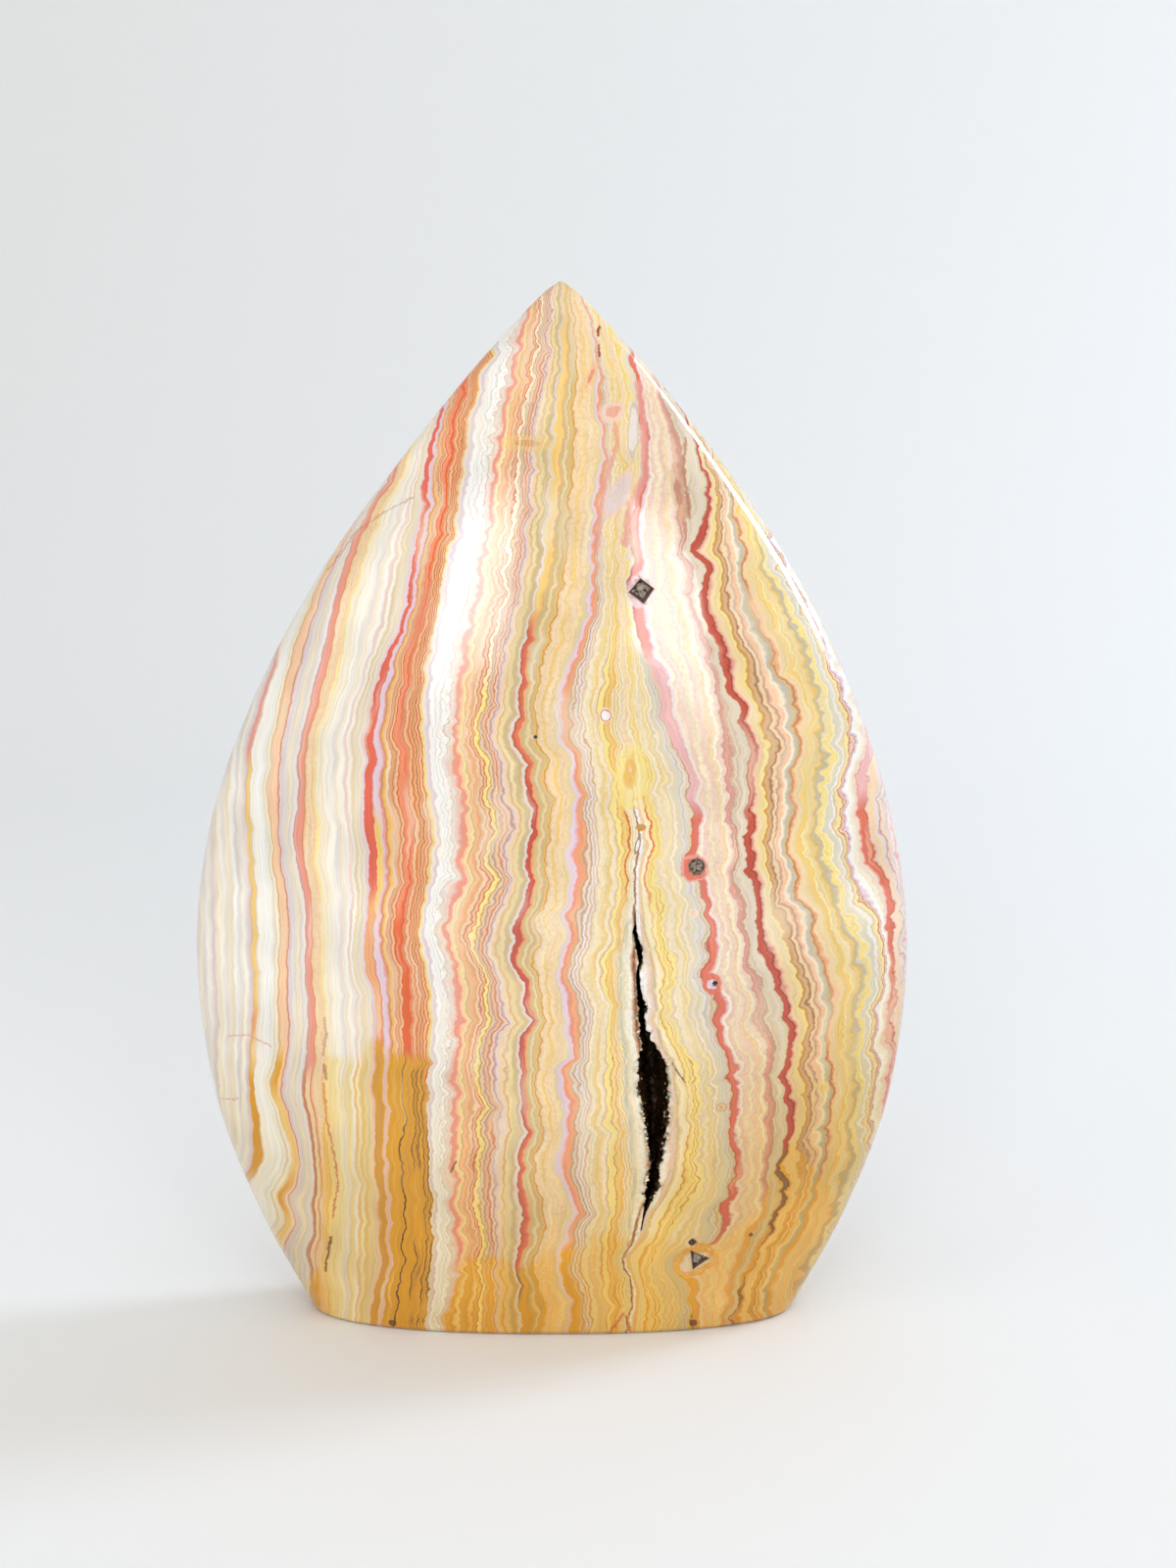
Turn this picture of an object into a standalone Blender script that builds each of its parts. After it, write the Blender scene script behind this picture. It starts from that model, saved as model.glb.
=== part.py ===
"""A polished standing flame of crazy lace agate with a crystal-lined fissure in its face.

The stone stands on its sawn foot at z = 0, its broad face towards -Y.
Sizes below are in millimetres; MM turns them into Blender's metres.
"""

import math
import random

import bmesh
import bpy

MM = 0.001

# The flame: height, half width and half thickness at stations from the foot to the tip
STATIONS = [
    (0.0, 26.05, 9.2),
    (11.0, 31.75, 11.2),
    (24.0, 36.3, 12.6),
    (40.5, 38.0, 13.0),
    (55.0, 35.9, 12.3),
    (68.9, 30.8, 10.7),
    (81.0, 24.3, 8.7),
    (91.0, 17.2, 6.4),
    (100.0, 10.0, 3.9),
    (105.5, 5.0, 2.2),
    (109.0, 1.5, 0.8),
    (110.0, 0.0, 0.0),
]
RINGS_PER_STATION = 3
SIDES = 72
SECTION_POWER = 2.3      # 2 is an ellipse; a little more squares the shoulders
TIP_LEAN = 1.05          # the upper half leans to +X by this much
LEAN_FROM = 50.0
LEAN_TO = 100.0
FOOT_ROUNDING = 0.6

# The fissure: height, left and right edge of the sawn-open hollow, then of the open mouth
FISSURE = [
    (11.6, 8.6, 8.8, 9.4, 9.4),
    (13.5, 8.0, 10.4, 9.5, 9.6),
    (16.0, 8.3, 11.8, 9.6, 10.7),
    (18.5, 8.5, 12.7, 9.9, 11.5),
    (22.5, 8.3, 13.2, 9.8, 12.0),
    (26.0, 7.9, 13.0, 9.3, 12.3),
    (30.0, 7.6, 12.8, 8.8, 12.2),
    (32.3, 7.5, 11.6, 8.9, 10.9),
    (35.0, 7.3, 10.9, 8.7, 10.0),
    (38.5, 7.2, 10.7, 8.5, 9.5),
    (42.5, 7.2, 10.1, 8.4, 9.3),
    (44.6, 7.6, 9.6, 8.3, 9.0),
    (46.6, 8.6, 9.0, 8.6, 8.6),
]
HOLLOW_DEPTH = 12.5
MOUTH_DEPTH = 11.0
MOUTH_SHORTER = 1.6      # the mouth stops this far inside the hollow's two ends
LEAST_HALF_WIDTH = 0.4
CRUST_GAP = 0.3
CRYSTAL_RELIEF = 0.2

# Crystal pits in the face: across, up, radius, corners, turn in degrees
PITS = [
    (9.3, 78.8, 1.35, 4, 8.0),
    (14.9, 51.0, 0.95, 7, 0.0),
    (15.4, 8.7, 1.3, 3, 35.0),
]
PIT_DEPTH = 1.6
PIT_FLOOR = 0.55         # the floor's radius as a share of the radius at the surface

AGATE_COLOUR = (0.72, 0.42, 0.24, 1.0)
DRUSE_COLOUR = (0.80, 0.74, 0.66, 1.0)
CUTTER_COLOUR = (0.2, 0.4, 0.8, 1.0)


def empty_scene():
    """Take away whatever the file was opened with."""
    for item in list(bpy.data.objects):
        bpy.data.objects.remove(item, do_unlink=True)
    for group in list(bpy.data.collections):
        bpy.data.collections.remove(group)


def new_collection(name):
    group = bpy.data.collections.new(name)
    bpy.context.scene.collection.children.link(group)
    return group


def new_material(name, colour, roughness):
    material = bpy.data.materials.new(name)
    material.use_nodes = True
    shader = material.node_tree.nodes["Principled BSDF"]
    shader.inputs["Base Color"].default_value = colour
    shader.inputs["Roughness"].default_value = roughness
    shader.inputs["Metallic"].default_value = 0.0
    material.diffuse_color = colour
    return material


def new_object(name, bm, group, material):
    """Turn a finished bmesh into a smooth-shaded object."""
    bmesh.ops.recalc_face_normals(bm, faces=bm.faces)
    mesh = bpy.data.meshes.new(name)
    bm.to_mesh(mesh)
    bm.free()
    mesh.materials.append(material)
    mesh.shade_smooth()
    mesh.set_sharp_from_angle(angle=math.radians(32.0))
    item = bpy.data.objects.new(name, mesh)
    group.objects.link(item)
    return item


def make_cutter(item):
    item.hide_render = True
    item.display_type = "WIRE"


def boolean(item, cutter, operation):
    modifier = item.modifiers.new(operation.title(), "BOOLEAN")
    modifier.object = cutter
    modifier.operation = operation
    modifier.solver = "EXACT"


def smooth_row(rows, place):
    """Read a row at a fractional place along a list of rows, on a smooth curve through them."""
    last = len(rows) - 1
    index = min(int(place), last - 1)
    t = place - index
    before = rows[max(index - 1, 0)]
    start = rows[index]
    end = rows[index + 1]
    after = rows[min(index + 2, last)]
    gap = [max(math.dist(a, b) ** 0.5, 1e-6) for a, b in ((before, start), (start, end), (end, after))]
    result = []
    for a, b, c, d in zip(before, start, end, after):
        slope_in = (c - b) / gap[1]
        slope_out = slope_in
        if index > 0:
            slope_in = ((b - a) / gap[0] * gap[1] + (c - b) / gap[1] * gap[0]) / (gap[0] + gap[1])
        if index < last - 1:
            slope_out = ((c - b) / gap[1] * gap[2] + (d - c) / gap[2] * gap[1]) / (gap[1] + gap[2])
        value = (2 * t ** 3 - 3 * t ** 2 + 1) * b + (3 * t ** 2 - 2 * t ** 3) * c
        value += gap[1] * ((t ** 3 - 2 * t ** 2 + t) * slope_in + (t ** 3 - t ** 2) * slope_out)
        result.append(value)
    return result


def straight_row(rows, height):
    """Read a row at a height on straight lines between the rows."""
    for low, high in zip(rows, rows[1:]):
        if height <= high[0]:
            break
    t = min(max((height - low[0]) / (high[0] - low[0]), 0.0), 1.0)
    return [a + (b - a) * t for a, b in zip(low, high)]


def lean_at(height):
    t = min(max((height - LEAN_FROM) / (LEAN_TO - LEAN_FROM), 0.0), 1.0)
    return TIP_LEAN * t * t * (3.0 - 2.0 * t)


def squared(value):
    """Push a sine or cosine outwards to the section's fuller shoulder."""
    return math.copysign(abs(value) ** (2.0 / SECTION_POWER), value)


def face_depth(across, height):
    """How far in front of the middle plane the stone's face is at one place."""
    _, width, thickness = straight_row(STATIONS, height)
    share = min(abs(across - lean_at(height)) / width, 1.0)
    return thickness * (1.0 - share ** SECTION_POWER) ** (1.0 / SECTION_POWER)


def flame_mesh():
    """A capped tube, cut into rings, each ring moved to its section of the flame."""
    rings = (len(STATIONS) - 1) * RINGS_PER_STATION
    bm = bmesh.new()
    bmesh.ops.create_cone(bm, cap_ends=True, segments=SIDES, radius1=1.0, radius2=1.0, depth=1.0)
    uprights = [e for e in bm.edges if abs(e.verts[0].co.z - e.verts[1].co.z) > 0.5]
    bmesh.ops.subdivide_edges(bm, edges=uprights, cuts=rings - 1)
    for vert in bm.verts:
        angle = math.atan2(vert.co.y, vert.co.x)
        place = (vert.co.z + 0.5) * (len(STATIONS) - 1)
        height, width, thickness = smooth_row(STATIONS, place)
        across = width * squared(math.cos(angle)) + lean_at(height)
        forward = thickness * squared(math.sin(angle))
        vert.co = (across * MM, forward * MM, height * MM)
    bmesh.ops.remove_doubles(bm, verts=bm.verts, dist=0.001 * MM)
    foot = [e for e in bm.edges if max(v.co.z for v in e.verts) < 0.001 * MM]
    bmesh.ops.bevel(bm, geom=foot, offset=FOOT_ROUNDING * MM, offset_type="OFFSET", segments=2,
                    profile=0.5, affect="EDGES", material=-1)
    return bm


def hollow_mesh(left, right, depth, shrink, shorten, relief, sides, rings):
    """A tall almond lying in the stone's face, widest at the surface, rough if it has relief."""
    dice = random.Random(7)
    low = FISSURE[0][0] + shorten
    high = FISSURE[-1][0] - shorten
    bm = bmesh.new()
    bmesh.ops.create_uvsphere(bm, u_segments=sides, v_segments=rings, radius=1.0)
    for vert in bm.verts:
        angle = math.atan2(vert.co.y, vert.co.x)
        along = math.asin(max(-1.0, min(1.0, vert.co.z))) / math.pi + 0.5
        height = low + (high - low) * along
        row = straight_row(FISSURE, height)
        middle = (row[left] + row[right]) / 2.0
        half = max((row[right] - row[left]) / 2.0 - shrink, LEAST_HALF_WIDTH)
        swell = math.sin(math.pi * along) ** 0.5
        pole = 1.0 if 0.001 < along < 0.999 else 0.0
        across = middle + half * math.cos(angle) * pole
        inwards = (depth - shrink) * swell * math.sin(angle) * pole
        across += dice.uniform(-relief, relief)
        inwards += dice.uniform(-relief, relief)
        height += dice.uniform(-relief, relief)
        vert.co = (across * MM, (inwards - face_depth(middle, height)) * MM, height * MM)
    return bm


def pit_mesh(across, height, radius, corners, turn):
    """A blunt flat-sided spike sunk in the face, so that the pit has crystal walls."""
    bm = bmesh.new()
    bmesh.ops.create_cone(bm, cap_ends=True, segments=corners, radius1=radius * PIT_FLOOR * MM,
                          radius2=radius * (2.0 - PIT_FLOOR) * MM, depth=PIT_DEPTH * 2.0 * MM)
    for vert in bm.verts:
        x, y, z = vert.co
        a = math.radians(turn)
        side = x * math.cos(a) - y * math.sin(a) + across * MM
        up = x * math.sin(a) + y * math.cos(a) + height * MM
        vert.co = (side, -z - face_depth(across, height) * MM, up)
    return bm


def build():
    empty_scene()
    model = new_collection("Crazy lace agate flame")
    cutters = new_collection("Cutters")
    agate = new_material("polished_agate", AGATE_COLOUR, 0.1)
    druse = new_material("quartz_druse", DRUSE_COLOUR, 0.35)
    guide = new_material("cutter", CUTTER_COLOUR, 1.0)

    hollow = new_object("hollow_cutter", hollow_mesh(1, 2, HOLLOW_DEPTH, 0.0, 0.0, 0.0, 12, 22),
                        cutters, guide)
    mouth = new_object("mouth_cutter", hollow_mesh(3, 4, MOUTH_DEPTH, 0.0, MOUTH_SHORTER,
                                                   CRYSTAL_RELIEF, 16, 34), cutters, guide)
    face = new_object("face_guide", flame_mesh(), cutters, guide)
    for item in (hollow, mouth, face):
        make_cutter(item)

    stone = new_object("agate_flame", flame_mesh(), model, agate)
    boolean(stone, hollow, "DIFFERENCE")
    for index, pit in enumerate(PITS):
        spike = new_object(f"pit_cutter_{index + 1}", pit_mesh(*pit), cutters, guide)
        make_cutter(spike)
        boolean(stone, spike, "DIFFERENCE")

    crust = new_object("fissure_druse", hollow_mesh(1, 2, HOLLOW_DEPTH, CRUST_GAP, CRUST_GAP * 2.0,
                                                    0.0, 12, 22), model, druse)
    boolean(crust, face, "INTERSECT")
    boolean(crust, mouth, "DIFFERENCE")


build()
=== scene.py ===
"""The finish of a crazy lace agate flame: fine stone, quartz crystals, banded colour, light and camera.

Sizes are in millimetres unless a name says otherwise; MM turns them into metres.
The stone stands on its foot at z = 0 with its broad face towards -Y.
"""
import math
import random

import bmesh
import bpy
from mathutils import Matrix, Quaternion, Vector, noise


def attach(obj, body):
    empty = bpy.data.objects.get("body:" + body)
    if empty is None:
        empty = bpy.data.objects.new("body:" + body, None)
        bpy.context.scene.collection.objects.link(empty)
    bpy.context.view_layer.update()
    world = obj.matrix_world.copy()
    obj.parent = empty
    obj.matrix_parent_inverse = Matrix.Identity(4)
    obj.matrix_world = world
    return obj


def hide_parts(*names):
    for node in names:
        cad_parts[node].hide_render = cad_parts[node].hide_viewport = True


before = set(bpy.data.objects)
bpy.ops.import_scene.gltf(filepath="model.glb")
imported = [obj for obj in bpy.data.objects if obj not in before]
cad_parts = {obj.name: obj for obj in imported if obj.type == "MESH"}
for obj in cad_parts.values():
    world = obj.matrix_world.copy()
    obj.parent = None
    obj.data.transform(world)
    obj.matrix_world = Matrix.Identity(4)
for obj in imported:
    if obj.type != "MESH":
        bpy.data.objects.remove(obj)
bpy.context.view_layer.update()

MM = 0.001

# The flame: height, half width and half thickness at stations from the foot to the tip
STATIONS = [
    (0.0, 26.05, 9.2),
    (11.0, 31.75, 11.2),
    (24.0, 36.3, 12.6),
    (40.5, 38.0, 13.0),
    (55.0, 35.9, 12.3),
    (68.9, 30.8, 10.7),
    (81.0, 24.3, 8.7),
    (91.0, 17.2, 6.4),
    (100.0, 10.0, 3.9),
    (105.5, 5.0, 2.2),
    (109.0, 1.5, 0.8),
    (110.0, 0.0, 0.0),
]
RINGS_PER_STATION = 22
SIDES = 288
SECTION_POWER = 2.3
TIP_LEAN = 1.05
LEAN_FROM = 50.0
LEAN_TO = 100.0
FOOT_ROUNDING = 0.6

# The fissure: height, left and right edge of the hollow, then of the open mouth
FISSURE = [
    (11.6, 8.6, 8.8, 9.2, 9.3),
    (13.5, 8.1, 10.4, 9.5, 9.7),
    (14.8, 8.1, 11.0, 9.65, 10.2),
    (16.0, 8.3, 11.8, 9.65, 10.75),
    (17.6, 8.5, 12.5, 9.85, 11.45),
    (19.2, 8.4, 12.8, 10.15, 11.5),
    (20.8, 8.3, 13.0, 10.0, 11.7),
    (22.5, 8.3, 13.2, 9.8, 12.05),
    (25.7, 7.9, 13.0, 9.4, 12.3),
    (27.4, 7.8, 12.9, 8.9, 12.3),
    (30.6, 7.6, 12.5, 8.75, 12.1),
    (32.2, 7.5, 11.6, 9.2, 11.1),
    (34.3, 7.35, 10.9, 8.95, 9.9),
    (35.8, 7.3, 10.9, 8.85, 9.85),
    (36.5, 7.25, 10.95, 8.85, 10.05),
    (37.4, 7.25, 10.8, 8.85, 9.55),
    (39.0, 7.2, 10.7, 8.7, 9.2),
    (40.2, 7.2, 10.6, 8.7, 9.15),
    (41.2, 7.2, 10.3, 8.95, 9.5),
    (42.9, 7.2, 10.1, 8.6, 9.3),
    (44.3, 7.5, 9.7, 8.25, 8.95),
    (45.3, 8.0, 9.4, 8.55, 8.7),
    (46.6, 8.6, 9.0, 8.6, 8.7),
]
HOLLOW_DEPTH = 12.5
MOUTH_DEPTH = 11.0

# Colours as they show in soft daylight, in eight-bit values
COLOURS = {
    "white": (250, 246, 240), "milk": (251, 243, 228), "chalk": (243, 239, 226), "pearl": (238, 226, 219),
    "cream": (250, 234, 205), "ivory": (245, 226, 190), "butter": (251, 229, 158), "lemon": (252, 227, 142),
    "straw": (240, 214, 158), "sand": (246, 213, 168), "tan": (222, 180, 134), "beige": (232, 209, 176),
    "olive": (212, 190, 138), "sage": (226, 218, 186), "gold": (232, 180, 100), "amber": (246, 206, 122),
    "honey": (242, 190, 100), "ochre": (210, 150, 70), "mustard": (226, 160, 34), "shell": (251, 204, 164),
    "peach": (247, 194, 148), "apricot": (243, 172, 116), "salmon": (243, 156, 126), "flame": (248, 148, 108),
    "coral": (226, 118, 94), "scarlet": (234, 108, 84), "ember": (232, 104, 50), "crimson": (204, 88, 68),
    "wine": (166, 66, 44), "rust": (208, 104, 56), "sienna": (206, 134, 98), "rose": (236, 160, 146),
    "blush": (242, 208, 190), "pink": (240, 186, 182), "orchid": (233, 206, 216), "lilac": (229, 208, 208),
    "mist": (228, 217, 207), "pewter": (208, 194, 180), "mauve": (204, 156, 136), "cocoa": (176, 118, 84),
    "umber": (112, 72, 40), "smoke": (156, 134, 104), "bronze": (150, 104, 40), "peat": (40, 26, 16),
    "bark": (104, 70, 38), "slate": (92, 84, 84),
}
# Guide lines read from the foot up, as (height, across); the bands lie in the strips between them
GUIDES = {
    "left rim": [(0, -43), (17, -40.5), (20, -39), (40, -38.6), (58, -39.2), (65, -38.3), (75, -36),
        (85, -31), (95, -25), (110, -16)],
    "bead line": [(0, -40), (8, -36.6), (14, -34), (17, -32.3), (19, -31.6), (21, -31.5), (25, -31.7),
        (30, -31.5), (36, -31.1), (45, -31), (50, -31.2), (53, -31.4), (58, -31.6), (62, -31.5),
        (65, -30.7), (70, -29.2), (75, -27.8), (80, -25.5), (85, -22.6), (90, -19.4), (95, -16.4),
        (100, -13.6), (110, -8)],
    "peach line": [(0, -33), (6, -31), (8, -30.2), (10, -29.2), (12, -28.4), (14.5, -29.2), (16, -28.4),
        (18, -27.4), (20, -27.2), (22, -27.8), (25, -28.6), (27, -29.4), (29, -28.9), (31, -28.3),
        (40, -28.2), (45, -27.8), (50, -28.5), (53, -28.7), (56, -28.9), (58, -29.2), (61, -28.9),
        (65, -28.3), (70, -27.2), (75, -25.7), (80, -23.6), (85, -20.9), (90, -18), (95, -15.2),
        (100, -12.6), (110, -7.2)],
    "rose line": [(0, -26.2), (6, -25.9), (8, -26), (11, -25.1), (14, -25.2), (17, -24.7), (20, -24.9),
        (24, -25.4), (27, -25.8), (30, -25.3), (35, -24.9), (40, -25.2), (44, -25), (47, -25), (50, -25.7),
        (53, -26.2), (56, -25.9), (59, -25.5), (61, -25.9), (63, -25.6), (65, -25), (67, -24.6),
        (70, -23.8), (72, -23.3), (75, -22.7), (78, -22), (82, -20.8), (85, -19.6), (90, -16.8),
        (95, -14.4), (100, -12.1), (110, -6.8)],
    "golden edge": [(0, -23.4), (3, -23), (7, -23.6), (10, -23.1), (14, -22.8), (17, -22.2), (20, -22.7),
        (30, -22.8), (40, -23), (44, -22.8), (48, -23), (51, -23.5), (53, -23.2), (55, -23), (57, -23.6),
        (60, -23.7), (64, -23.5), (67, -22.3), (70, -21.2), (75, -20.5), (80, -19.3), (85, -17.6),
        (90, -15.2), (95, -13.4), (100, -11.5), (110, -6.4)],
    "scarlet line": [(0, -19.6), (4, -19), (6, -18.4), (10, -18.1), (15, -18.1), (20, -18.5), (24, -18),
        (28, -18.6), (30, -18.2), (34, -17.9), (38, -18.1), (41, -18.9), (44, -18.9), (48, -18.5),
        (53, -18.3), (55, -18.8), (60, -18.8), (62, -18.5), (64, -18.9), (66, -18.4), (70, -17.4),
        (72, -16.7), (74, -15.5), (76, -14.9), (79, -14.2), (85, -13.6), (92, -12.6), (95, -12),
        (100, -10.6), (110, -5.8)],
    "block left": [(0, -16.9), (5, -16.2), (10, -15.6), (15, -15.2), (20, -15.6), (25, -15.2), (30, -15.3),
        (38, -15), (40, -15.2), (42, -15.8), (45, -16), (48, -15.5), (51, -15), (55, -15), (57, -15.3),
        (59, -15.6), (62, -15.3), (64, -15.8), (67, -15.4), (70, -14.9), (72, -14.6), (75, -13.6),
        (80, -12.6), (85, -11.6), (90, -11), (95, -10.4), (100, -9.2), (105, -7), (110, -4.6)],
    "block right": [(0, -13.5), (5, -12.9), (10, -12.3), (15, -12.4), (25, -12.5), (30, -12.4), (37, -11.9),
        (40, -12.3), (42, -12.9), (44, -13.1), (46, -12.8), (50, -12.1), (54, -11.6), (58, -11.9),
        (60, -12.3), (65, -12.7), (70, -12.4), (75, -11.5), (80, -10.5), (85, -9.6), (90, -8.8), (95, -8.2),
        (100, -7), (105, -5), (110, -2.8)],
    "quartz teeth": [(0, -12.2), (2, -11.8), (5, -10.9), (10, -10.4), (15, -10.6), (20, -11), (25, -10.6),
        (30, -10.6), (35, -10.3), (40, -10.4), (43, -11), (46, -11.3), (48, -10.8), (50, -10.1), (53, -9.9),
        (56, -9.7), (60, -10.1), (62, -10.6), (65, -10.2), (70, -9.8), (75, -9), (80, -7.8), (85, -6.9),
        (90, -6.3), (95, -5.6), (100, -4.7), (105, -3.4), (110, -1.6)],
    "wine line": [(0, -8), (3, -7.7), (6, -7.1), (8, -7.8), (10, -7.3), (15, -7.9), (20, -7.7), (24, -7.4),
        (27, -7.1), (29, -7.7), (32, -7.4), (36, -6.5), (40, -6.7), (41.5, -7.4), (44, -8), (46, -7.4),
        (48, -6.5), (50, -6.2), (52, -6.6), (54, -5.9), (56, -5.6), (58, -6.4), (60, -6.5), (62, -7.1),
        (64.5, -7.9), (67, -6.9), (70, -6.5), (75, -5.4), (80, -4.7), (85, -4.1), (88, -3.6), (91, -3.3),
        (95, -3), (100, -2), (105, -1.2), (110, -0.6)],
    "rust line": [(0, -3.4), (4, -3.3), (8, -3.6), (12, -3.2), (17, -3.4), (20, -3.3), (22, -3),
        (23.5, -2.5), (26, -3), (30, -3.3), (34, -3), (35, -2.2), (36.5, -2.5), (40, -3.2), (42, -3.9),
        (45, -3.8), (48, -2.3), (50, -2.3), (56, -1.9), (58, -2.3), (62, -2.6), (64, -3.7), (67, -3.2),
        (70, -3.1), (73, -2.8), (75, -2.2), (78, -1.3), (81, -0.6), (85, -0.3), (90, 0), (95, 0.4),
        (100, 0.8), (110, 1.2)],
    "pink line": [(0, 1.5), (4, 1.9), (6, 1), (8, 0.4), (10, 0.7), (12, 1.3), (15, 2.2), (18, 0.9),
        (20, 0.4), (22, 1.1), (24, 1.4), (28, 1), (30, 0.7), (32, 2), (34, 1.5), (36, 1.5), (40, 0.6),
        (42.5, 0.9), (44, 1.8), (46, 1), (48, 2.1), (52, 1.8), (54, 2.1), (58, 2.3), (60, 2.4), (62, 1.9),
        (64, 1), (68, 0.7), (70, 1.3), (72, 2), (74, 2.9), (76, 3.5), (79, 3.8), (85, 4.3), (88, 4.4),
        (91, 5), (94, 5.1), (97, 4.6), (100, 4.9), (105, 4.3), (110, 2.4)],
    "yellow line": [(0, 6), (3, 6), (5, 5.5), (12, 5.5), (15, 6), (20, 6), (23, 6.2), (24, 5.6), (26, 5.9),
        (30, 5.6), (33, 6), (36, 6), (38, 5.6), (41, 5.5), (43, 6), (45, 6.2), (48, 6.6), (53, 7),
        (55, 6.8), (57.5, 6.1), (60, 6.1), (62, 5.6), (64, 5), (67, 4.9), (70, 5.4), (75, 6.2), (80, 6.4),
        (85, 6.2), (90, 7), (95, 6.8), (100, 6.4), (110, 3.2)],
    "seam left": [(0, 7.6), (3, 7.9), (5, 8), (7, 7.4), (9, 7.2), (11, 7.6), (13.5, 8), (18.5, 8.5),
        (26, 7.9), (30, 7.6), (38, 7.2), (42, 7.2), (44.6, 7.6), (47, 8.1), (50, 8.2), (55, 8.5), (57, 8.2),
        (59, 7.8), (61, 7.6), (64, 7.2), (67, 7), (70, 7), (75, 7.2), (80, 6.9), (85, 6.8), (90, 7.6),
        (95, 7.4), (100, 6.9), (110, 3.7)],
    "seam right": [(0, 8.8), (5, 9.2), (7, 8.4), (9, 8.2), (11, 9.4), (13.5, 10.4), (16, 11.8),
        (18.5, 12.7), (22.5, 13.2), (26, 13), (30, 12.8), (32.3, 11.6), (35, 10.9), (38.5, 10.7),
        (42.5, 10.1), (44.6, 9.6), (50, 9.2), (53, 9.5), (55, 9.4), (57, 8.9), (59, 8.6), (61, 8.5),
        (64, 8.1), (67, 7.7), (70, 7.6), (75, 7.7), (80, 7.3), (85, 7.2), (90, 8), (95, 7.8), (100, 7.3),
        (110, 4.1)],
    "lemon teeth": [(0, 11.5), (3, 11.8), (5, 11.4), (8, 10.8), (10, 11.5), (12, 12.6), (15, 14.6),
        (18, 15.7), (24, 15.4), (27, 15.7), (29, 15.5), (31, 14.6), (33, 13.4), (35, 12.6), (37, 12.1),
        (39, 12.5), (41, 12.9), (43, 11.9), (45, 11.3), (47.5, 11.8), (50, 10.8), (55, 11), (57, 10.4),
        (59, 10.3), (60, 10.8), (62, 9.9), (65, 9), (68, 8.5), (70, 8.2), (75, 8.1), (80, 7.6), (85, 7.6),
        (90, 8.6), (95, 8.4), (100, 7.8), (110, 4.6)],
    "coral line": [(0, 14.7), (5, 14.6), (6.5, 14), (8, 12.9), (9, 13.2), (9.8, 14.6), (10.4, 16.4),
        (12, 18), (13, 18.3), (14.5, 17.9), (15.5, 18.5), (18, 18.9), (22, 18.8), (25.5, 18.3), (29, 18.6),
        (31, 18.2), (34, 17.1), (37.3, 17.1), (38.2, 16), (39.5, 15.3), (42, 16.2), (44, 16), (48, 15.4),
        (49.5, 14.8), (51, 13.9), (52.5, 14.2), (56, 14.4), (58, 13.9), (60, 14.4), (62, 13.2), (64, 12),
        (66, 11.4), (70, 10.9), (72, 9.6), (76, 8.5), (80, 8), (82, 8.3), (84, 8), (86, 8.2), (88, 8.7),
        (90, 9.4), (93, 9.6), (96, 9.1), (100, 8.8), (110, 5.2)],
    "grainy line": [(0, 18.4), (5, 19), (10, 20), (14, 22.2), (20, 22.4), (30, 22.4), (33, 22), (36, 21.5),
        (39, 21), (41, 20.3), (43, 19.9), (46, 19.4), (50, 18.9), (54, 18.7), (58, 18), (62, 18),
        (65, 17.6), (70, 16.5), (75, 15.2), (80, 13.9), (85, 13.3), (90, 12.7), (95, 12), (100, 10.8),
        (110, 6.2)],
    "crimson line": [(0, 19.6), (4, 19.7), (6, 20.2), (10, 21.8), (14, 23.8), (16, 24.4), (18, 24.1),
        (22, 24.4), (26, 24.3), (30, 24.1), (32, 24.6), (35, 24.4), (37, 23.7), (40.5, 22.4), (44, 21.6),
        (48, 21), (51, 20), (54, 19.8), (57, 20.2), (60, 20.1), (62, 20.3), (65, 19.5), (67, 19.2),
        (68, 18.4), (72, 17.1), (75, 16.3), (78, 15.6), (80, 15.2), (81, 15.6), (82, 14.9), (84, 14.8),
        (86, 15.6), (88, 16), (90, 15.8), (93, 14.8), (97, 13.2), (100, 11.8), (110, 7)],
    "brown line": [(0, 23.6), (3, 23.2), (7, 24.5), (10, 26), (14, 27.6), (18, 28.4), (20, 28.9), (25, 29),
        (27, 29.3), (30, 28.7), (34, 28.9), (35.5, 29.4), (38.5, 28.9), (40, 28.5), (43, 27.1), (45, 27),
        (48, 25.5), (50, 25), (53, 24.7), (56, 24.9), (58, 24.5), (62, 25.3), (65, 25.5), (68, 24.8),
        (71, 23.4), (75, 21.5), (78, 20.4), (82, 20), (85, 19.3), (90, 17.8), (95, 15.6), (100, 13.4),
        (110, 8.4)],
    "lace edge": [(0, 26.5), (6, 28), (10, 29.6), (14, 31), (18, 32), (22, 31.6), (25.5, 32.2), (29, 31.9),
        (35, 32.2), (39, 32.5), (41, 32.2), (44, 31), (47, 29.6), (50, 28.5), (54, 27.6), (56, 27.4),
        (60, 27.9), (62, 28.4), (66, 27.9), (70, 27), (75, 25), (80, 22.9), (85, 21), (90, 19), (95, 16.6),
        (100, 14.2), (110, 9.2)],
    "plum line": [(0, 28), (5, 29.5), (10, 31.2), (15, 33), (18, 34.2), (21, 34.1), (24, 33.8),
        (28.5, 34.3), (33, 34), (36, 34.5), (39, 34.9), (42, 34.7), (45, 33.8), (48.5, 31.6), (50, 31),
        (53, 30.5), (56, 30.2), (59, 30.2), (61, 30.9), (63, 31.4), (66, 30.9), (70, 29.4), (75, 27.2),
        (80, 24.8), (85, 22.4), (90, 20), (100, 15), (110, 10)],
    "brick line": [(0, 29.5), (10, 32.8), (18, 35.3), (24, 35.4), (30, 35.8), (38, 35.7), (44, 35.1),
        (46, 35), (48, 34.2), (51.5, 32.4), (54, 31.7), (57, 31.6), (59, 31.9), (62, 33), (65, 32.8),
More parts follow.
